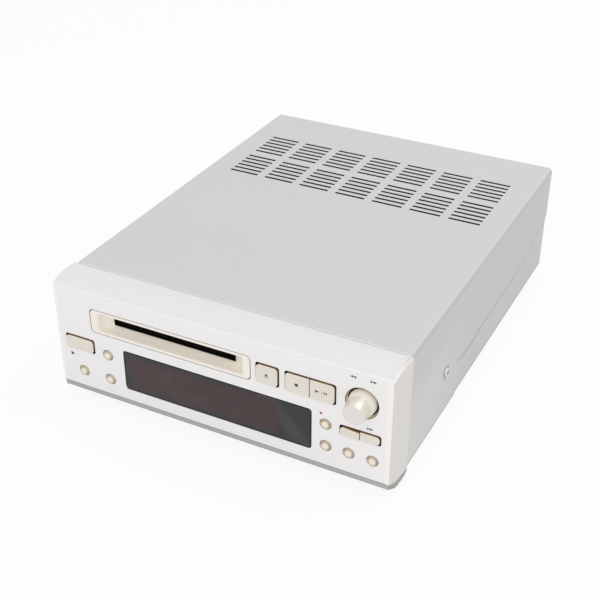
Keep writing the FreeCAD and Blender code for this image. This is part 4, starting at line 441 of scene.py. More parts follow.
def button_lacquer():
    """Champagne lacquer on a round button: a painted highlight on the dome fading to tan, and painted shade
    in brown in the groove.
    """
    paint = Paint("button_lacquer", IOR=1.5)
    _, y, _ = paint.place()
    behind = y - FACE_Y - ROUND_FRONT
    flakes = paint.cells(0.28)
    soft = paint.noise(2.0, 3.0)
    # painted highlight on the dome, fading to tan towards its edge and further back
    base = paint.mix(colour(246, 237, 220), colour(228, 214, 192), behind.rise(0.15, 0.6))
    base = paint.mix(base, paint.shade(colour(226, 210, 184), 0.05, soft), behind.rise(0.75, 0.95))
    # painted shade: brown in the groove
    groove = behind.rise(1.25, 1.5)
    base = paint.mix(base, colour(92, 72, 54), groove)
    return paint.finished(base, 0.28 + 0.14 * soft, flakes, 0.003, Coat_Weight=0.35 * (1 - groove))


def knob_metal(colours, front):
    """Turned metal: fine rings on the flat end, lengthwise brushing on the taper, and a painted highlight
    on the rim of the skirt.
    """
    paint = Paint("knob_metal", IOR=1.5, Anisotropic=0.3)
    x, y, z = paint.place()
    middle_x, middle_z = middle("jog_knob")
    across = ((x - middle_x) ** 2 + (z - middle_z) ** 2) ** 0.5
    end = 1 - (y - front).rise(0.35, 0.6)
    rings = (across * 3.2).part()
    brushed = paint.noise(0.5, 3.0, (1, 14, 1))
    body = paint.shade(colours.knob, 0.05, brushed)
    rim = extent("jog_knob")[0] / 2
    # painted highlight on the rim of the skirt
    skirt_highlight = across.rise(rim - 1.0, rim - 0.6)
    body = paint.mix(body, colour(252, 246, 232), skirt_highlight)
    flat = paint.shade(colour(232, 226, 222), 0.02, rings)
    base = paint.mix(body, flat, end)
    return paint.finished(base, 0.4 + 0.12 * end + 0.06 * brushed, rings * end, 0.004,
                          Metallic=0.7 * (1 - end) * (1 - skirt_highlight) + 0.05)


def dish_metal():
    """Gold-toned spun metal of the ring round the knob: a tan wall, with painted shade dark on the rim and
    black on the floor.
    """
    paint = Paint("dish_metal", IOR=1.5)
    _, y, _ = paint.place()
    spun = paint.noise(0.6, 3.0, (1, 6, 1))
    deep = y - FACE_Y
    # painted shade: black on the floor of the ring, round the knob's base
    floor = deep.rise(1.7, 2.1)
    base = paint.mix(paint.shade(colour(242, 226, 196), 0.05, spun), colour(12, 10, 8), floor)
    # painted shade: dark on the front rim
    base = paint.mix(base, colour(74, 62, 48), 1 - deep.rise(0.22, 0.4))
    return paint.finished(base, 0.36 + 0.2 * spun, Metallic=0.1 * (1 - floor))


def smoked_window(colours):
    """Polished smoked window: a black rim, a grey border with a painted reflection across it and the
    reddish field of the tube behind it, with a faint grid of segments."""
    paint = Paint("smoked_window", IOR=1.5)
    x, _, z = paint.place()
    low, high = box_mm("display_tube")
    left, right = -53.7, 38.0
    field = x.within(left, right, 2.4) * z.within(low[2], high[2], 1.6)
    columns = ((x / 4.6).part() - 0.5).within(-0.36, 0.36, 0.04)
    rows = ((z / 6.2).part() - 0.5).within(-0.38, 0.38, 0.04)
    mesh = (x / 0.55).part().within(0.2, 0.8, 0.15)
    clouds = paint.noise(26.0)
    reddish = paint.mix(paint.shade(colours.tube, 0.25, clouds), colour(58, 24, 26),
                        0.5 * columns * rows * mesh)
    border = paint.shade(colours.window, 0.12, clouds)
    # painted reflection: a lighter diagonal band across the dark border
    diagonal_reflection = (x + 0.9 * z - 66.0).within(0.0, 11.0, 2.5)
    border = paint.mix(border, colour(42, 41, 44), 0.8 * diagonal_reflection)
    smudge = paint.noise(9.0, 4.0).rise(0.5, 0.75)
    base = paint.mix(border, reddish, field)
    low, high = box_mm("display_window")
    low, high = low + 1.9, high - 1.9
    rim = 1 - x.within(low[0], high[0], 0.25) * z.within(low[2], high[2], 0.25)
    base = paint.mix(base, colour(4, 4, 4), rim)
    return paint.finished(base, 0.05 + 0.09 * smudge + 0.3 * rim, Metallic=rim,
                          Coat_Weight=(0.12 + 0.2 * smudge) * (1 - rim))


def symbol_print(name, ink):
    """Screen print with a slightly uneven, dry edge to its tone."""
    paint = Paint(name)
    dots = paint.noise(0.4)
    return paint.finished(paint.shade(ink, 0.12, dots), 0.55 + 0.2 * dots)


# ---- finishes of the inside and back
def plain_finish(name, looks, spread, size, rough, depth, metal=0.0, coat=0.0, stretch=(1, 1, 1)):
    """A finish with cloudy tone, uneven sheen and a fine relief."""
    paint = Paint(name, Metallic=metal, Coat_Weight=coat)
    tone = paint.noise(size, 3.0, stretch)
    fine = paint.noise(size / 6, 2.0, stretch)
    base = paint.shade(colour(*looks), spread, 0.6 * tone + 0.4 * fine)
    return paint.finished(base, rough[0] + rough[1] * tone, fine, depth)


# The rows hold name, colour, spread, feature size, roughness and its range, depth, metal, coat, stretch.
PLAIN_FINISHES = {
    "black_plastic": ("black_moulding", (33, 32, 31), 0.15, 1.2, (0.5, 0.2), 0.02),
    "switch_plastic": ("switch_moulding", (44, 42, 41), 0.12, 0.8, (0.45, 0.2), 0.01),
    "tube_glass": ("tube_glass", (48, 56, 56), 0.1, 6.0, (0.05, 0.08), 0.002, 0.0, 0.5),
    "lamp_lens": ("lamp_lens", (62, 50, 48), 0.1, 1.0, (0.15, 0.1), 0.002, 0.0, 0.6),
    "foot_rubber": ("foot_rubber", (46, 45, 44), 0.12, 2.0, (0.7, 0.2), 0.03),
    "screw_steel": ("screw_plating", (206, 206, 204), 0.06, 1.5, (0.18, 0.14), 0.004, 1.0),
    "plated_brass": ("nickel_plating", (214, 208, 194), 0.05, 2.0, (0.2, 0.12), 0.004, 1.0),
    "motor_steel": ("motor_can", (168, 169, 170), 0.08, 1.5, (0.25, 0.2), 0.006, 0.9, 0.0, (1, 8, 1)),
    "rail_steel": ("polished_rod", (200, 201, 203), 0.04, 1.2, (0.12, 0.12), 0.003, 1.0, 0.0, (8, 1, 1)),
    "sled_metal": ("cast_sled", (104, 105, 108), 0.12, 1.6, (0.4, 0.2), 0.02, 0.8),
    "film_orange": ("dipped_coating", (206, 98, 38), 0.12, 5.0, (0.2, 0.15), 0.03, 0.0, 0.4),
    "heatsink_alu": ("extruded_alloy", (178, 179, 181), 0.07, 1.6, (0.35, 0.15), 0.008, 0.9, 0.0,
                     (1, 1, 12)),
}


def zinc_plate():
    """Zinc-plated sheet with small crystals and a cloudy yellowish passivation."""
    paint = Paint("zinc_plate", Metallic=0.85)
    crystals = paint.cells(2.6)
    base = paint.mix(paint.shade(colour(176, 178, 180), 0.12, crystals), colour(188, 182, 160),
                     0.35 * paint.noise(24.0, 3.0))
    return paint.finished(base, 0.3 + 0.2 * crystals, paint.noise(0.8), 0.006)


def rear_coating():
    """Pale grey coating on the back, with fine grain and faint handling marks."""
    paint = Paint("rear_coating")
    grain = paint.noise(0.7, 3.0)
    marks = paint.noise(16.0, 4.0, (3, 1, 1)).rise(0.58, 0.7)
    base = paint.mix(paint.shade(colour(190, 189, 187), 0.04, grain), colour(168, 166, 163), 0.4 * marks)
    return paint.finished(base, 0.5 + 0.15 * grain, grain, 0.012)


def circuit_board():
    """Green coated board with copper tracks under the lacquer and rows of solder pads."""
    paint = Paint("circuit_board", IOR=1.5, Coat_Roughness=0.2)
    x, y, z = paint.place()
    wander = paint.noise(9.0, 1.0) * 6.0
    tracks = ((x + y * 0.5 + z + wander) / 2.2).part().within(0.35, 0.65, 0.05)
    pad_x = ((x / 5.08).part() - 0.5) ** 2
    pad_y = (((y + z) / 5.08).part() - 0.5) ** 2
    pads = 1 - (pad_x + pad_y).rise(0.012, 0.02)
    base = paint.mix(colour(34, 82, 40), colour(64, 118, 62), tracks)
    base = paint.mix(base, colour(196, 194, 186), pads)
    return paint.finished(base, 0.45 - 0.15 * pads, tracks * 0.6 + pads, 0.03, Metallic=0.8 * pads)


def board_parts():
    """Shrink-sleeved cans with bare tops and a pale stripe, and matte black chip packages."""
    paint = Paint("board_parts")
    x, _, z = paint.place()
    tall = z.rise(19.0, 19.6)
    stripe = (x / 9.0).part().within(0.44, 0.6, 0.02) * tall
    sleeve = paint.mix(colour(24, 28, 46), colour(186, 188, 190), stripe)
    tops = (z - 27.2).within(-0.45, 0.45, 0.1) + (z - 31.4).within(-0.35, 0.35, 0.1) + z.rise(40.1, 40.4)
    grain = paint.noise(0.5)
    base = paint.mix(paint.shade(colour(28, 28, 29), 0.15, grain), sleeve, tall)
    base = paint.mix(base, colour(190, 190, 192), tops)
    return paint.finished(base, 0.5 - 0.2 * tall + 0.1 * grain, grain, 0.008, Metallic=0.8 * tops)


def flat_cable():
    """Flat cable of parallel strands, the first ones coloured, with painted shade in the grooves between
    them.
    """
    paint = Paint("flat_cable")
    across = paint.place()[0] - box_mm("ribbon_cable")[0][0]
    groove = ((across / 1.27).part() - 0.5) ** 2 * 4
    tone = paint.shade(colour(214, 212, 204), 0.05, paint.noise(6.0))
    base = paint.mix(tone, colour(196, 60, 52), across.within(-1.0, 1.27, 0.05))
    # painted shade in the grooves between the strands
    base = paint.mix(base, colour(120, 116, 108), 0.6 * groove.rise(0.7, 1.0))
    return paint.finished(base, 0.4, 1 - groove, 0.25)


def laminations():
    """Varnished sheets of a transformer core, seen edge on."""
    paint = Paint("laminations", Metallic=0.3)
    x, _, _ = paint.place()
    sheets = (x / 0.5).part().within(0.15, 0.85, 0.12)
    stain = paint.noise(7.0, 3.0)
    base = paint.mix(colour(46, 42, 40), paint.shade(colour(96, 88, 82), 0.2, stain), sheets)
    return paint.finished(base, 0.4 + 0.3 * stain, sheets, 0.08)


def winding_tape():
    """Yellow tape wound round the coil in overlapping turns."""
    paint = Paint("winding_tape", Coat_Weight=0.3)
    _, _, z = paint.place()
    turns = (z / 9.0).part()
    lap = turns.rise(0.9, 0.98)
    tone = paint.shade(colour(226, 176, 52), 0.08, paint.noise(8.0, 3.0, (1, 1, 4)))
    base = paint.mix(tone, colour(182, 128, 30), lap)
    return paint.finished(base, 0.32 + 0.2 * paint.noise(3.0), turns, 0.05)


def gear_plastic():
    """Natural white bearing plastic with a faint flow pattern and grease near the teeth."""
    paint = Paint("gear_plastic", Subsurface_Weight=0.05)
    flow = paint.noise(6.0, 3.0, (1, 3, 1))
    grease = paint.noise(3.0, 3.0).rise(0.58, 0.7)
    base = paint.mix(paint.shade(colour(226, 224, 214), 0.04, flow), colour(206, 192, 150), 0.4 * grease)
    return paint.finished(base, 0.5 - 0.3 * grease)


def inside_finishes():
    """The finish of every material slot that isn't on the front or the cover."""
    return {
        "zinc_steel": zinc_plate(),
        "rear_steel": rear_coating(),
        "board_resin": circuit_board(),
        "ribbon_white": flat_cable(),
        "core_steel": laminations(),
        "tape_yellow": winding_tape(),
        "gear_plastic": gear_plastic(),
        **{slot: plain_finish(*row) for slot, row in PLAIN_FINISHES.items()},
    }


# ---- surfaces
def softened(rows, steps=5):
    """A path with round corners.

    Each row is a point followed by the length to round off at it. A corner becomes the curve
    (1 - t)^2 a + 2 t (1 - t) b + t^2 c between the points a and c at that length from b.
    """
    rows = np.array(rows, float)
    points, lengths = rows[:, :-1], rows[:, -1]
    way = np.diff(points, axis=0)
    run = np.linalg.norm(way, axis=1)
    way /= run[:, None]
    t = np.linspace(0, 1, steps)[:, None]
    path = [points[:1]]
    for i in range(1, len(points) - 1):
        length = min(lengths[i], 0.49 * run[i - 1], 0.49 * run[i])
        a, b, c = points[i] - way[i - 1] * length, points[i], points[i] + way[i] * length
        path.append((1 - t) ** 2 * a + 2 * t * (1 - t) * b + t ** 2 * c if length else b[None])
    return np.concatenate(path + [points[-1:]])


def at_depths(x, deep, z):
    """Rows of points of one depth each, from their x and z."""
    return np.stack([x, np.broadcast_to((FACE_Y + deep)[:, None], x.shape), z], -1)


def carried(x, z, rows, arc=8, side=5, roundness=(1, 1, 1, 1)):
    """A rectangle with round corners carried along a path, as a grid of points in millimetres.

    A row holds depth, width, height, corner radius and rise. Its corners are quarter circles
    (cos a, sin a) about the corner centres, each of the radius times its own roundness, and its
    sides are divided evenly between them.
    """
    deep, width, height, corner, lift = rows.T
    turns = np.arange(4)[:, None] * math.pi / 2 + np.linspace(0, math.pi / 2, arc + 1)
    unit = np.stack([np.cos(turns), np.sin(turns)], -1)
    signs = np.array([[1, 1], [-1, 1], [-1, -1], [1, -1]])
    radii = corner[:, None] * np.array(roundness)
    half = np.stack([width / 2, height / 2], -1)[:, None] - radii[..., None]
    corners = (signs * half)[:, :, None] + radii[..., None, None] * unit
    start, end = corners[:, :, -1], np.roll(corners[:, :, 0], -1, axis=1)
    share = np.linspace(0, 1, side + 2)[1:-1, None]
    sides = start[:, :, None] + (end - start)[:, :, None] * share
    flat = np.concatenate([corners, sides], 2).reshape(len(rows), -1, 2)
    return at_depths(x + flat[..., 0], deep, z + lift[:, None] + flat[..., 1])


def turned(x, z, rows, steps=96):
    """A path of depth and radius turned about an axis that points backwards.

    The point at angle a is x + r cos a, the depth, z + r sin a, in millimetres.
    """
    angle = np.linspace(0, 2 * math.pi, steps, endpoint=False)
    deep, radius = rows.T
    return at_depths(x + radius[:, None] * np.cos(angle), deep, z + radius[:, None] * np.sin(angle))


def plate(outline, deep, thick):
    """A flat figure of x and z points that stands proud by its thickness, as a grid of two rows."""
    x, z = np.array([outline, outline], float).transpose(2, 0, 1)
    return at_depths(x, deep - np.array([0.0, thick]), z)


def lip_strip(drop):
    """The moulding under the face and round both ends, as a grid of points in millimetres.

    Each row is a section. Along the path the sections stand on x = end + lean * depth at the sides,
    on a quarter circle at each corner and on the face. A section runs inwards from its point and
    falls below the lip, z = height - (radius^2 - (depth - middle)^2)^0.5, by factors of the drop
    that fade to the back with s = 1 - depth / back: 0.2 + 0.8 s, and another s^4 at the sides.
    """
    corner, end, back = 1.8, CAP_X - 1.3, 13.5
    inset = 0.03
    lean = CAP_FLARE / (BAND_BACK - FACE_Y)
    side = np.linspace(back, corner, 18)
    turn = np.linspace(math.pi / 2, 0, 9)[1:]
    front = np.linspace(end - corner, 0, 12)[1:]
    x = np.concatenate([end + lean * side, end - corner + corner * np.sin(turn), front])
    deep = np.concatenate([side, corner * (1 - np.cos(turn)), 0 * front])
    out = np.concatenate([1 + 0 * side, np.sin(turn), 0 * front])
    x, deep, out = (np.concatenate([row, sign * row[-2::-1]])
                    for row, sign in ((x, -1), (deep, 1), (out, -1)))
    share = np.clip(1 - deep / back, 0, 1)[:, None]
    across = np.abs(out)[:, None]
    inwards = np.array([0.5, 0.02, 0.1, 0.5, 1.3, 3.6, 1.6])
    fall = np.array([-0.4, 0.0, 0.85, 1.05, 1.3, 1.75, 0.4])
    side_fall = np.array([-0.5, 0.0, 0.85, 1.05, 1.15, 1.2, 0.0])
    fall = fall * (1 - across) + across * share ** 4 * side_fall
    inwards = inwards * (1 - 0.55 * across * (np.arange(len(inwards)) > 3))
    under = LIP_HEIGHT - (LIP_RADIUS ** 2 - (deep - LIP_DEPTH) ** 2) ** 0.5
    return np.stack([x[:, None] - inwards * out[:, None],
                     FACE_Y + deep[:, None] + inset + inwards * (1 - out[:, None] ** 2) ** 0.5,
                     under[:, None] - drop * (0.2 + 0.8 * share) * fall], -1)


def grid_faces(rows, columns, first, loop):
    """Quads between the neighbours of a grid whose columns close, and whose rows close in a loop."""
    index = first + np.arange(rows * columns).reshape(rows, columns)
    index = np.concatenate([index, index[:, :1]], 1)
    if loop:
        index = np.concatenate([index, index[:1]], 0)
    return np.stack([index[:-1, :-1], index[:-1, 1:], index[1:, 1:], index[1:, :-1]], -1).reshape(-1, 4)


def add_piece(name, grids, material, body, replaces=(), loop=False, sharp=32.0):
    """One object from grids of points in millimetres, closed at both ends or in a loop."""
    faces, first = [], 0
    for grid in grids:
        rows, columns = grid.shape[:2]
        faces += grid_faces(rows, columns, first, loop).tolist()
        if not loop:
            faces += [list(range(first, first + columns)),
                      list(range(first + (rows - 1) * columns, first + rows * columns))]
        first += rows * columns
    points = np.concatenate([grid.reshape(-1, 3) for grid in grids]) * MM
    mesh = bpy.data.meshes.new(name)
    mesh.from_pydata(points.tolist(), [], faces)
    work = bmesh.new()
    work.from_mesh(mesh)
    bmesh.ops.remove_doubles(work, verts=work.verts, dist=1e-6)
    bmesh.ops.recalc_face_normals(work, faces=work.faces)
    work.to_mesh(mesh)
    work.free()
    mesh.polygons.foreach_set("use_smooth", np.ones(len(mesh.polygons), bool))
    mesh.set_sharp_from_angle(angle=math.radians(sharp))
    mesh.materials.append(material)
    piece = bpy.data.objects.new(name, mesh)
    bpy.context.scene.collection.objects.link(piece)
    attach(piece, body)
    if replaces:
        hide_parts(*replaces)


# ---- what the frame says
def body_of(node):
    """The body that a CAD node belongs to."""
    bodies = frame["record"]["behaviour"]["bodies"]
    return next(name for name, nodes in bodies.items() if node in nodes)


def nodes_in(slot):
    """The CAD nodes of one material slot."""
    return [part["node"] for part in frame["record"]["subparts"] if part["material_slot"] == slot]


def finish_nodes(material, names):
    """Give CAD nodes a material."""
    for name in names:
        mesh = frame["nodes"][name].data
        mesh.materials.clear()
        mesh.materials.append(material)


# ---- operators
class FinishCabinet(bpy.types.Operator):
    """Paint the cover and the fascia, and finish everything inside and behind them"""
    bl_idname = "deck.finish_cabinet"
    bl_label = "Finish Cabinet"

    def execute(self, context):
        colours = context.scene.deck_colours
        finish_nodes(cover_paint(colours), nodes_in("cover_paint"))
        finish_nodes(front_lacquer(colours), nodes_in("silver_panel"))
        finish_nodes(trim_lacquer(colours), ["end_cap_left", "end_cap_right"])
        for slot, material in inside_finishes().items():
            finish_nodes(material, nodes_in(slot))
        finish_nodes(board_parts(), ["board_components"])
        flap_finish = plain_finish("flap_moulding", (14, 12, 9), 0.2, 4.0, (0.6, 0.2), 0.002, 0.9)
        finish_nodes(flap_finish, ["slot_flap"])
        return {"FINISHED"}


class BuildLip(bpy.types.Operator):
    """Build the moulding that runs under the face and round both ends, grey with painted shade"""
    bl_idname = "deck.build_lip"
    bl_label = "Build Lip"

    def execute(self, context):
        grid = lip_strip(context.scene.deck_sizes.lip_drop / MM)
        # painted shade: the moulding is grey
        finish = plain_finish("lip_painted_shade", (178, 177, 175), 0.03, 6.0, (0.5, 0.1), 0.003)
        add_piece("lip_moulding", [grid], finish, "cabinet", sharp=60.0)
        return {"FINISHED"}


class BuildSlot(bpy.types.Operator):
    """Build the surround of the disc slot as one smooth surface"""
    bl_idname = "deck.build_slot"
    bl_label = "Build Slot"

    def execute(self, context):
        sizes = context.scene.deck_sizes
        edge, gap = sizes.bezel_edge / MM, sizes.bezel_gap / MM
        full_w, full_h, _, back = extent("slot_bezel")
        wide, tall, front = full_w - 3.0, full_h - 3.0, -0.1
        mouth_w, mouth_h, throat_w, throat_h = wide - 9.0, tall - 3.9, 76.8, 6.0
        room_w, room_h, lift = 78.4, 9.6, 1.4
        rows = softened([
            (7.1, throat_w, throat_h, 0.3, 0.0, 0.0),
            (7.1, room_w, room_h, 0.3, lift, 0.0),
            (back, room_w, room_h, 0.3, lift, 0.0),
            (back, room_w + 3.6, room_h + 2.8, 0.8, lift, 0.3),
            (4.0, room_w + 3.6, room_h + 2.8, 0.8, lift, 0.0),
            (4.0, full_w, full_h, 4.0, 0.0, 0.2),
            (2.5, full_w, full_h, 4.0, 0.0, 0.2),
            (2.5, wide - 2 * gap, tall - 2 * gap, 2.6, 0.0, 0.0),
            (front, wide - 2 * gap, tall - 2 * gap, 2.6, 0.0, edge),
            (front, mouth_w, mouth_h, 0.6, 0.0, 0.35),
            (6.0, throat_w, throat_h, 0.3, 0.0, 0.25),
            (6.8, throat_w, throat_h, 0.3, 0.0, 0.0),
        ])
        grid = carried(*middle("slot_bezel"), rows, side=12)
        add_piece("slot_surround", [grid], bezel_lacquer(context.scene.deck_colours), "cabinet",
                  ["slot_bezel"], loop=True, sharp=25.0)
        return {"FINISHED"}


class BuildDisplay(bpy.types.Operator):
    """Build the smoked window with its flange and softened edge"""
    bl_idname = "deck.build_display"
    bl_label = "Build Display"

    def execute(self, context):
        full_w, full_h, front, back = extent("display_window")
        wide, tall = full_w - 2 * PANE_FLANGE, full_h - 2 * PANE_FLANGE
        rows = softened([
            (back, full_w, full_h, 3.2, 0.0, 0.0),
            (back - 1.2, full_w, full_h, 3.2, 0.0, 0.0),
            (back - 1.2, wide, tall, 2.0, 0.0, 0.0),
            (front, wide, tall, 2.0, 0.0, 0.25),
            (front, wide - 3.0, tall - 3.0, 1.0, 0.0, 0.0),
        ])
        finish = smoked_window(context.scene.deck_colours)
        grid = carried(*middle("display_window"), rows, side=12)
        add_piece("window_pane", [grid], finish, "cabinet", ["display_window"], sharp=40.0)
        return {"FINISHED"}


class BuildKeys(bpy.types.Operator):
    """Build the rectangular keys and the round buttons"""
    bl_idname = "deck.build_keys"
    bl_label = "Build Keys"

    def key(self, node, material, edge, corner):
        """One key: a cap with a round front edge, a flange above and below, and a stem."""
        full_w, full_h, _, back = extent(node)
        x, z = middle(node)
        lip, play, joint = 1.1, 0.42, 0.02
        left = joint if node in ("play_button", "search_forward_button") else play
        right = joint if node in ("stop_button", "search_back_button") else play
        roundness = [0.15 if gap == joint else 1 for gap in (right, left, left, right)]
        x += (left - right) / 2
        wide, tall = full_w - left - right, full_h - 2 * lip - 2 * play
        corner = min(corner, tall / 2 - 0.4)
        stem, behind = 3.0, FLANGE_DEPTH + FLANGE_THICK
        rows = softened([
            (back, stem, stem, 0.5, 0.0, 0.0),
            (behind, stem, stem, 0.5, 0.0, 0.0),
            (behind, wide - 2.4, tall + 2 * lip, 0.5, 0.0, 0.1),
            (FLANGE_DEPTH, wide - 2.4, tall + 2 * lip, 0.5, 0.0, 0.1),
            (FLANGE_DEPTH, wide, tall, corner, 0.0, 0.0),
            (KEY_FRONT, wide, tall, corner, 0.0, edge),
            (KEY_FRONT, wide - 3 * edge, tall - 3 * edge, max(corner - 1.5 * edge, 0.4), 0.0, 0.0),
        ], 7)
        grid = carried(x, z, rows, roundness=roundness)
        if node == "search_back_button":
            across = (grid[..., 0] - box_mm(node)[0][0]) / wide
            grid[..., 2] -= across * (0.25 + 0.65 * (grid[..., 2] - z + tall / 2) / tall)
        add_piece(node.replace("_button", "_cap"), [grid], material, body_of(node),
                  [node], sharp=40.0)

    def round_button(self, node, material):
        """One round button: a low ring, a groove inside it and a proud dome in the middle."""
        full_w, _, _, back = extent(node)
        flange, stem = full_w / 2, 1.4
        radius = flange - 1.2
        front, behind = ROUND_FRONT, FLANGE_DEPTH + FLANGE_THICK
        crown = np.linspace(1, 0, 11) ** 0.5
        dome = [(front + 0.6 * r ** 2, r * (radius - 0.95), 0.0) for r in crown]
        rows = softened([
            (back, 0.0, 0.0), (back, stem, 0.1), (behind, stem, 0.0), (behind, flange, 0.1),
            (FLANGE_DEPTH, flange, 0.1), (FLANGE_DEPTH, radius, 0.0), (front + 1.0, radius, 0.3),
            (front + 1.0, radius - 0.5, 0.2), (front + 1.7, radius - 0.7, 0.1),
            (front + 1.7, radius - 0.8, 0.0), (front + 0.8, radius - 0.86, 0.3), *dome,
        ], 6)
        grid = turned(*middle(node), rows, 64)
        add_piece(node.replace("_button", "_dome"), [grid], material, body_of(node),
                  [node], sharp=50.0)

    def execute(self, context):
        sizes, colours = context.scene.deck_sizes, context.scene.deck_colours
        key_finish, button_finish = key_lacquer(colours), button_lacquer()
        for node in nodes_in("key_champagne"):
            wide, tall, _, _ = extent(node)
            if abs(wide - tall) < 0.01:
                self.round_button(node, button_finish)
            else:
                self.key(node, key_finish, sizes.key_edge / MM, sizes.key_corner / MM)
        return {"FINISHED"}


class BuildKnob(bpy.types.Operator):
    """Build the jog knob and the ring that it stands in"""
    bl_idname = "deck.build_knob"
    bl_label = "Build Knob"

    def execute(self, context):
        x, z = middle("jog_knob")
        full_w, _, front, back = extent("jog_knob")
        base = full_w / 2
        face, bore, hub, waist = base - 1.9, 3.05, 4.5, -4.95
        rows = softened([
            (back - 8.0, 0.0, 0.0), (back - 8.0, bore, 0.0), (back, bore, 0.0), (back, hub, 0.2),
            (back - 6.0, hub, 0.2), (back - 6.0, base - 1.7, 0.2), (back, base - 1.3, 0.1),
            (back, base, 0.3), (back - 1.8, base, 1.2), (waist, face + 0.9, 3.0),
            (front + 0.5, face + 0.02, 0.6), (front, face - 0.45, 0.3), (front, 0.0, 0.0),
        ], 9)
        finish = knob_metal(context.scene.deck_colours, FACE_Y + front)
        add_piece("jog_grip", [turned(x, z, rows, 128)], finish, body_of("jog_knob"),
                  ["jog_knob"], sharp=38.0)
        full_w, _, _, floor = extent("knob_dish")
        rim, hole = full_w / 2, 3.7
        radius = rim - 1.4
        rows = softened([
            (floor, hole, 0.0), (floor, rim, 0.1), (2.5, rim, 0.1), (2.5, radius, 0.0), (0.1, radius, 0.1),
            (0.1, radius - 0.25, 0.1), (2.6, radius - 0.95, 0.3), (3.2, radius - 1.4, 0.2),
            (3.2, hole, 0.0), (3.6, hole, 0.0),
        ], 7)
        add_piece("knob_ring", [turned(x, z, rows, 128)], dish_metal(), "cabinet",
                  ["knob_dish"], loop=True, sharp=45.0)
        return {"FINISHED"}


class PrintSymbols(bpy.types.Operator):
    """Print the transport symbols on the keys and the face"""
    bl_idname = "deck.print_symbols"
    bl_label = "Print Symbols"

    def execute(self, context):
        sizes, colours = context.scene.deck_sizes, context.scene.deck_colours
        size, thick = sizes.symbol_size / MM, sizes.print_depth / MM
        ink = symbol_print("symbol_print", colours.symbol)
        half = size / 2

        def bar(x, z, wide, tall):
            """A rectangle about a point."""
            return [(x - wide / 2, z - tall / 2), (x + wide / 2, z - tall / 2),
                    (x + wide / 2, z + tall / 2), (x - wide / 2, z + tall / 2)]

        def arrow(x, z, reach, tall):
            """A triangle that points right, or left where its reach is negative."""
            return [(x - reach / 2, z - tall / 2), (x + reach / 2, z), (x - reach / 2, z + tall / 2)]

        x, z = middle("eject_button")
        up = [(x - 1.0, z - 0.1), (x + 1.0, z - 0.1), (x, z + 1.4)]
        sets = {"eject": ([up, bar(x, z - 0.75, 2.0, 0.4)], KEY_FRONT, "eject_key", ink)}
        x, z = middle("stop_button")
        sets["stop"] = ([bar(x, z, 1.2 * size, 1.15 * size)], KEY_FRONT, "stop_key", ink)
        x, z = middle("play_button")
        slash = [(x - 0.35, z - half), (x - 0.1, z - half), (x + 0.35, z + half), (x + 0.1, z + half)]
        sets["play"] = ([arrow(x - 2.7, z, 2.3, size), slash, bar(x + 1.3, z, 0.55, size),
                         bar(x + 2.4, z, 0.55, size)], KEY_FRONT, "play_key", ink)
        reach = 1.15 * size
        x, z = middle("jog_knob")
        z += 14.7
        marks = [arrow(x - 6.1, z, -reach, size), arrow(x - 4.4, z, -reach, size),
                 arrow(x + 4.9, z, reach, size), arrow(x + 6.6, z, reach, size)]
        x, z = middle("search_forward_button")
        z += 5.8
        marks += [arrow(x - 1.3, z, reach, size), arrow(x + 0.4, z, reach, size)]
        sets["face"] = (marks, 0.0, "cabinet", ink)
        x, z = middle("record_button")
        angle = np.linspace(0, 2 * math.pi, 32, endpoint=False)
        dot = np.stack([x - 2.7 + half * np.cos(angle), z + 6.2 + half * np.sin(angle)], -1)
        sets["record"] = ([dot], 0.0, "cabinet", symbol_print("record_print", colours.record))
        for name, (figures, deep, body, material) in sets.items():
            add_piece(f"{name}_print", [plate(figure, deep, thick) for figure in figures], material, body)
        return {"FINISHED"}


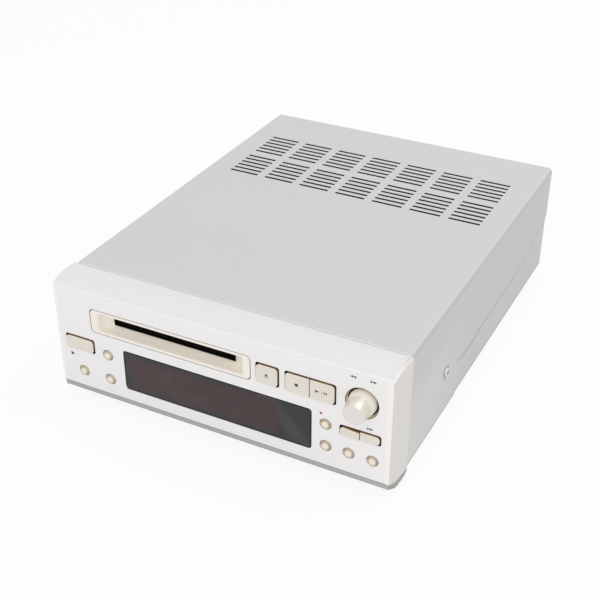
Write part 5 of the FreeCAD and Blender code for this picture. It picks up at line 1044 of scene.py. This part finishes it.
class BuildStage(bpy.types.Operator):
    """Lay the pale floor and set the soft light and the camera"""
    bl_idname = "deck.build_stage"
    bl_label = "Build Stage"

    def floor(self, context):
        """A large plain floor that looks white and keeps the shadow."""
        half = context.scene.deck_sizes.floor_size / 2
        mesh = bpy.data.meshes.new("floor")
        corners = half * np.array([[-1, -1, 0], [1, -1, 0], [1, 1, 0], [-1, 1, 0]])
        mesh.from_pydata(corners.tolist(), [], [[0, 1, 2, 3]])
        paint = Paint("floor_paper", Roughness=0.9, Specular_IOR_Level=0.1)
        clouds = paint.noise(160.0, 3.0)
        paint.set(Base_Color=paint.shade(colour(249, 250, 252), 0.012, clouds))
        white = paint.node("ShaderNodeEmission", {}, {0: WHITE, 1: 1.0})
        both = paint.node("ShaderNodeMixShader", {},
                          {0: FLOOR_GLOW * paint.seen(), 1: paint.shader.outputs[0], 2: white.outputs[0]})
        paint.feed(paint.tree.nodes["Material Output"].inputs[0], both.outputs[0])
        mesh.materials.append(paint.material)
        floor = bpy.data.objects.new("floor", mesh)
        context.scene.collection.objects.link(floor)

    def sky(self, context):
        """A white surround that lights the scene at a level of its own."""
        world = bpy.data.worlds.new("studio")
        world.use_nodes = True
        context.scene.world = world
        nodes = Nodes(world.node_tree)
        nodes.tree.nodes.clear()
        light = nodes.node("ShaderNodeBackground", {}, {0: WHITE, 1: WORLD_LIGHT})
        white = nodes.node("ShaderNodeBackground", {}, {0: WHITE, 1: 1.0})
        both = nodes.node("ShaderNodeMixShader", {},
                          {0: nodes.seen(), 1: light.outputs[0], 2: white.outputs[0]})
        nodes.node("ShaderNodeOutputWorld", {}, {0: both.outputs[0]})

    def lamp(self, context, name, place, size, power):
        """A square soft lamp that points at the middle of the floor."""
        data = bpy.data.lights.new(name, "AREA")
        data.size, data.energy = size, power
        lamp = bpy.data.objects.new(name, data)
        lamp.location = place
        lamp.rotation_mode = "QUATERNION"
        lamp.rotation_quaternion = Vector(place).to_track_quat("Z", "Y")
        context.scene.collection.objects.link(lamp)

    def camera(self, context):
        """The camera, in front of the deck, to its right and above it."""
        azimuth, elevation, roll = (math.radians(angle) for angle in CAMERA_ANGLES)
        data = bpy.data.cameras.new("camera")
        data.lens, data.sensor_width = CAMERA_LENS, CAMERA_SENSOR
        camera = bpy.data.objects.new("camera", data)
        camera.matrix_world = Matrix.Translation(CAMERA_PLACE)
        for angle, axis in ((azimuth, "Z"), (math.pi / 2 - elevation, "X"), (roll, "Z")):
            camera.matrix_world @= Matrix.Rotation(angle, 4, axis)
        context.scene.collection.objects.link(camera)
        context.scene.camera = camera

    def execute(self, context):
        self.camera(context)
        self.floor(context)
        self.sky(context)
        for name, place, size, power in LAMPS:
            self.lamp(context, name, place, size, power)
        context.scene.view_settings.view_transform = "Standard"
        return {"FINISHED"}


class DeckPanel(bpy.types.Panel):
    """Lists the steps and the settings of the deck"""
    bl_idname = "VIEW3D_PT_deck"
    bl_label = "Disc Deck"
    bl_space_type = "VIEW_3D"
    bl_region_type = "UI"
    bl_category = "Deck"

    def draw(self, context):
        for step in STEPS:
            self.layout.operator(step.bl_idname)
        for group in (context.scene.deck_colours, context.scene.deck_sizes):
            for name in group.__annotations__:
                self.layout.prop(group, name)


STEPS = (BuildStage, FinishCabinet, BuildLip, BuildSlot, BuildDisplay, BuildKeys, BuildKnob, PrintSymbols)
CLASSES = (DeckColours, DeckSizes, *STEPS, DeckPanel)


def register():
    for cls in CLASSES:
        bpy.utils.register_class(cls)
    bpy.types.Scene.deck_colours = bpy.props.PointerProperty(type=DeckColours)
    bpy.types.Scene.deck_sizes = bpy.props.PointerProperty(type=DeckSizes)


def unregister():
    del bpy.types.Scene.deck_sizes
    del bpy.types.Scene.deck_colours
    for cls in reversed(CLASSES):
        bpy.utils.unregister_class(cls)


def main():
    register()
    for step in STEPS:
        group, name = step.bl_idname.split(".")
        getattr(getattr(bpy.ops, group), name)()


if __name__ == "__main__":
    main()
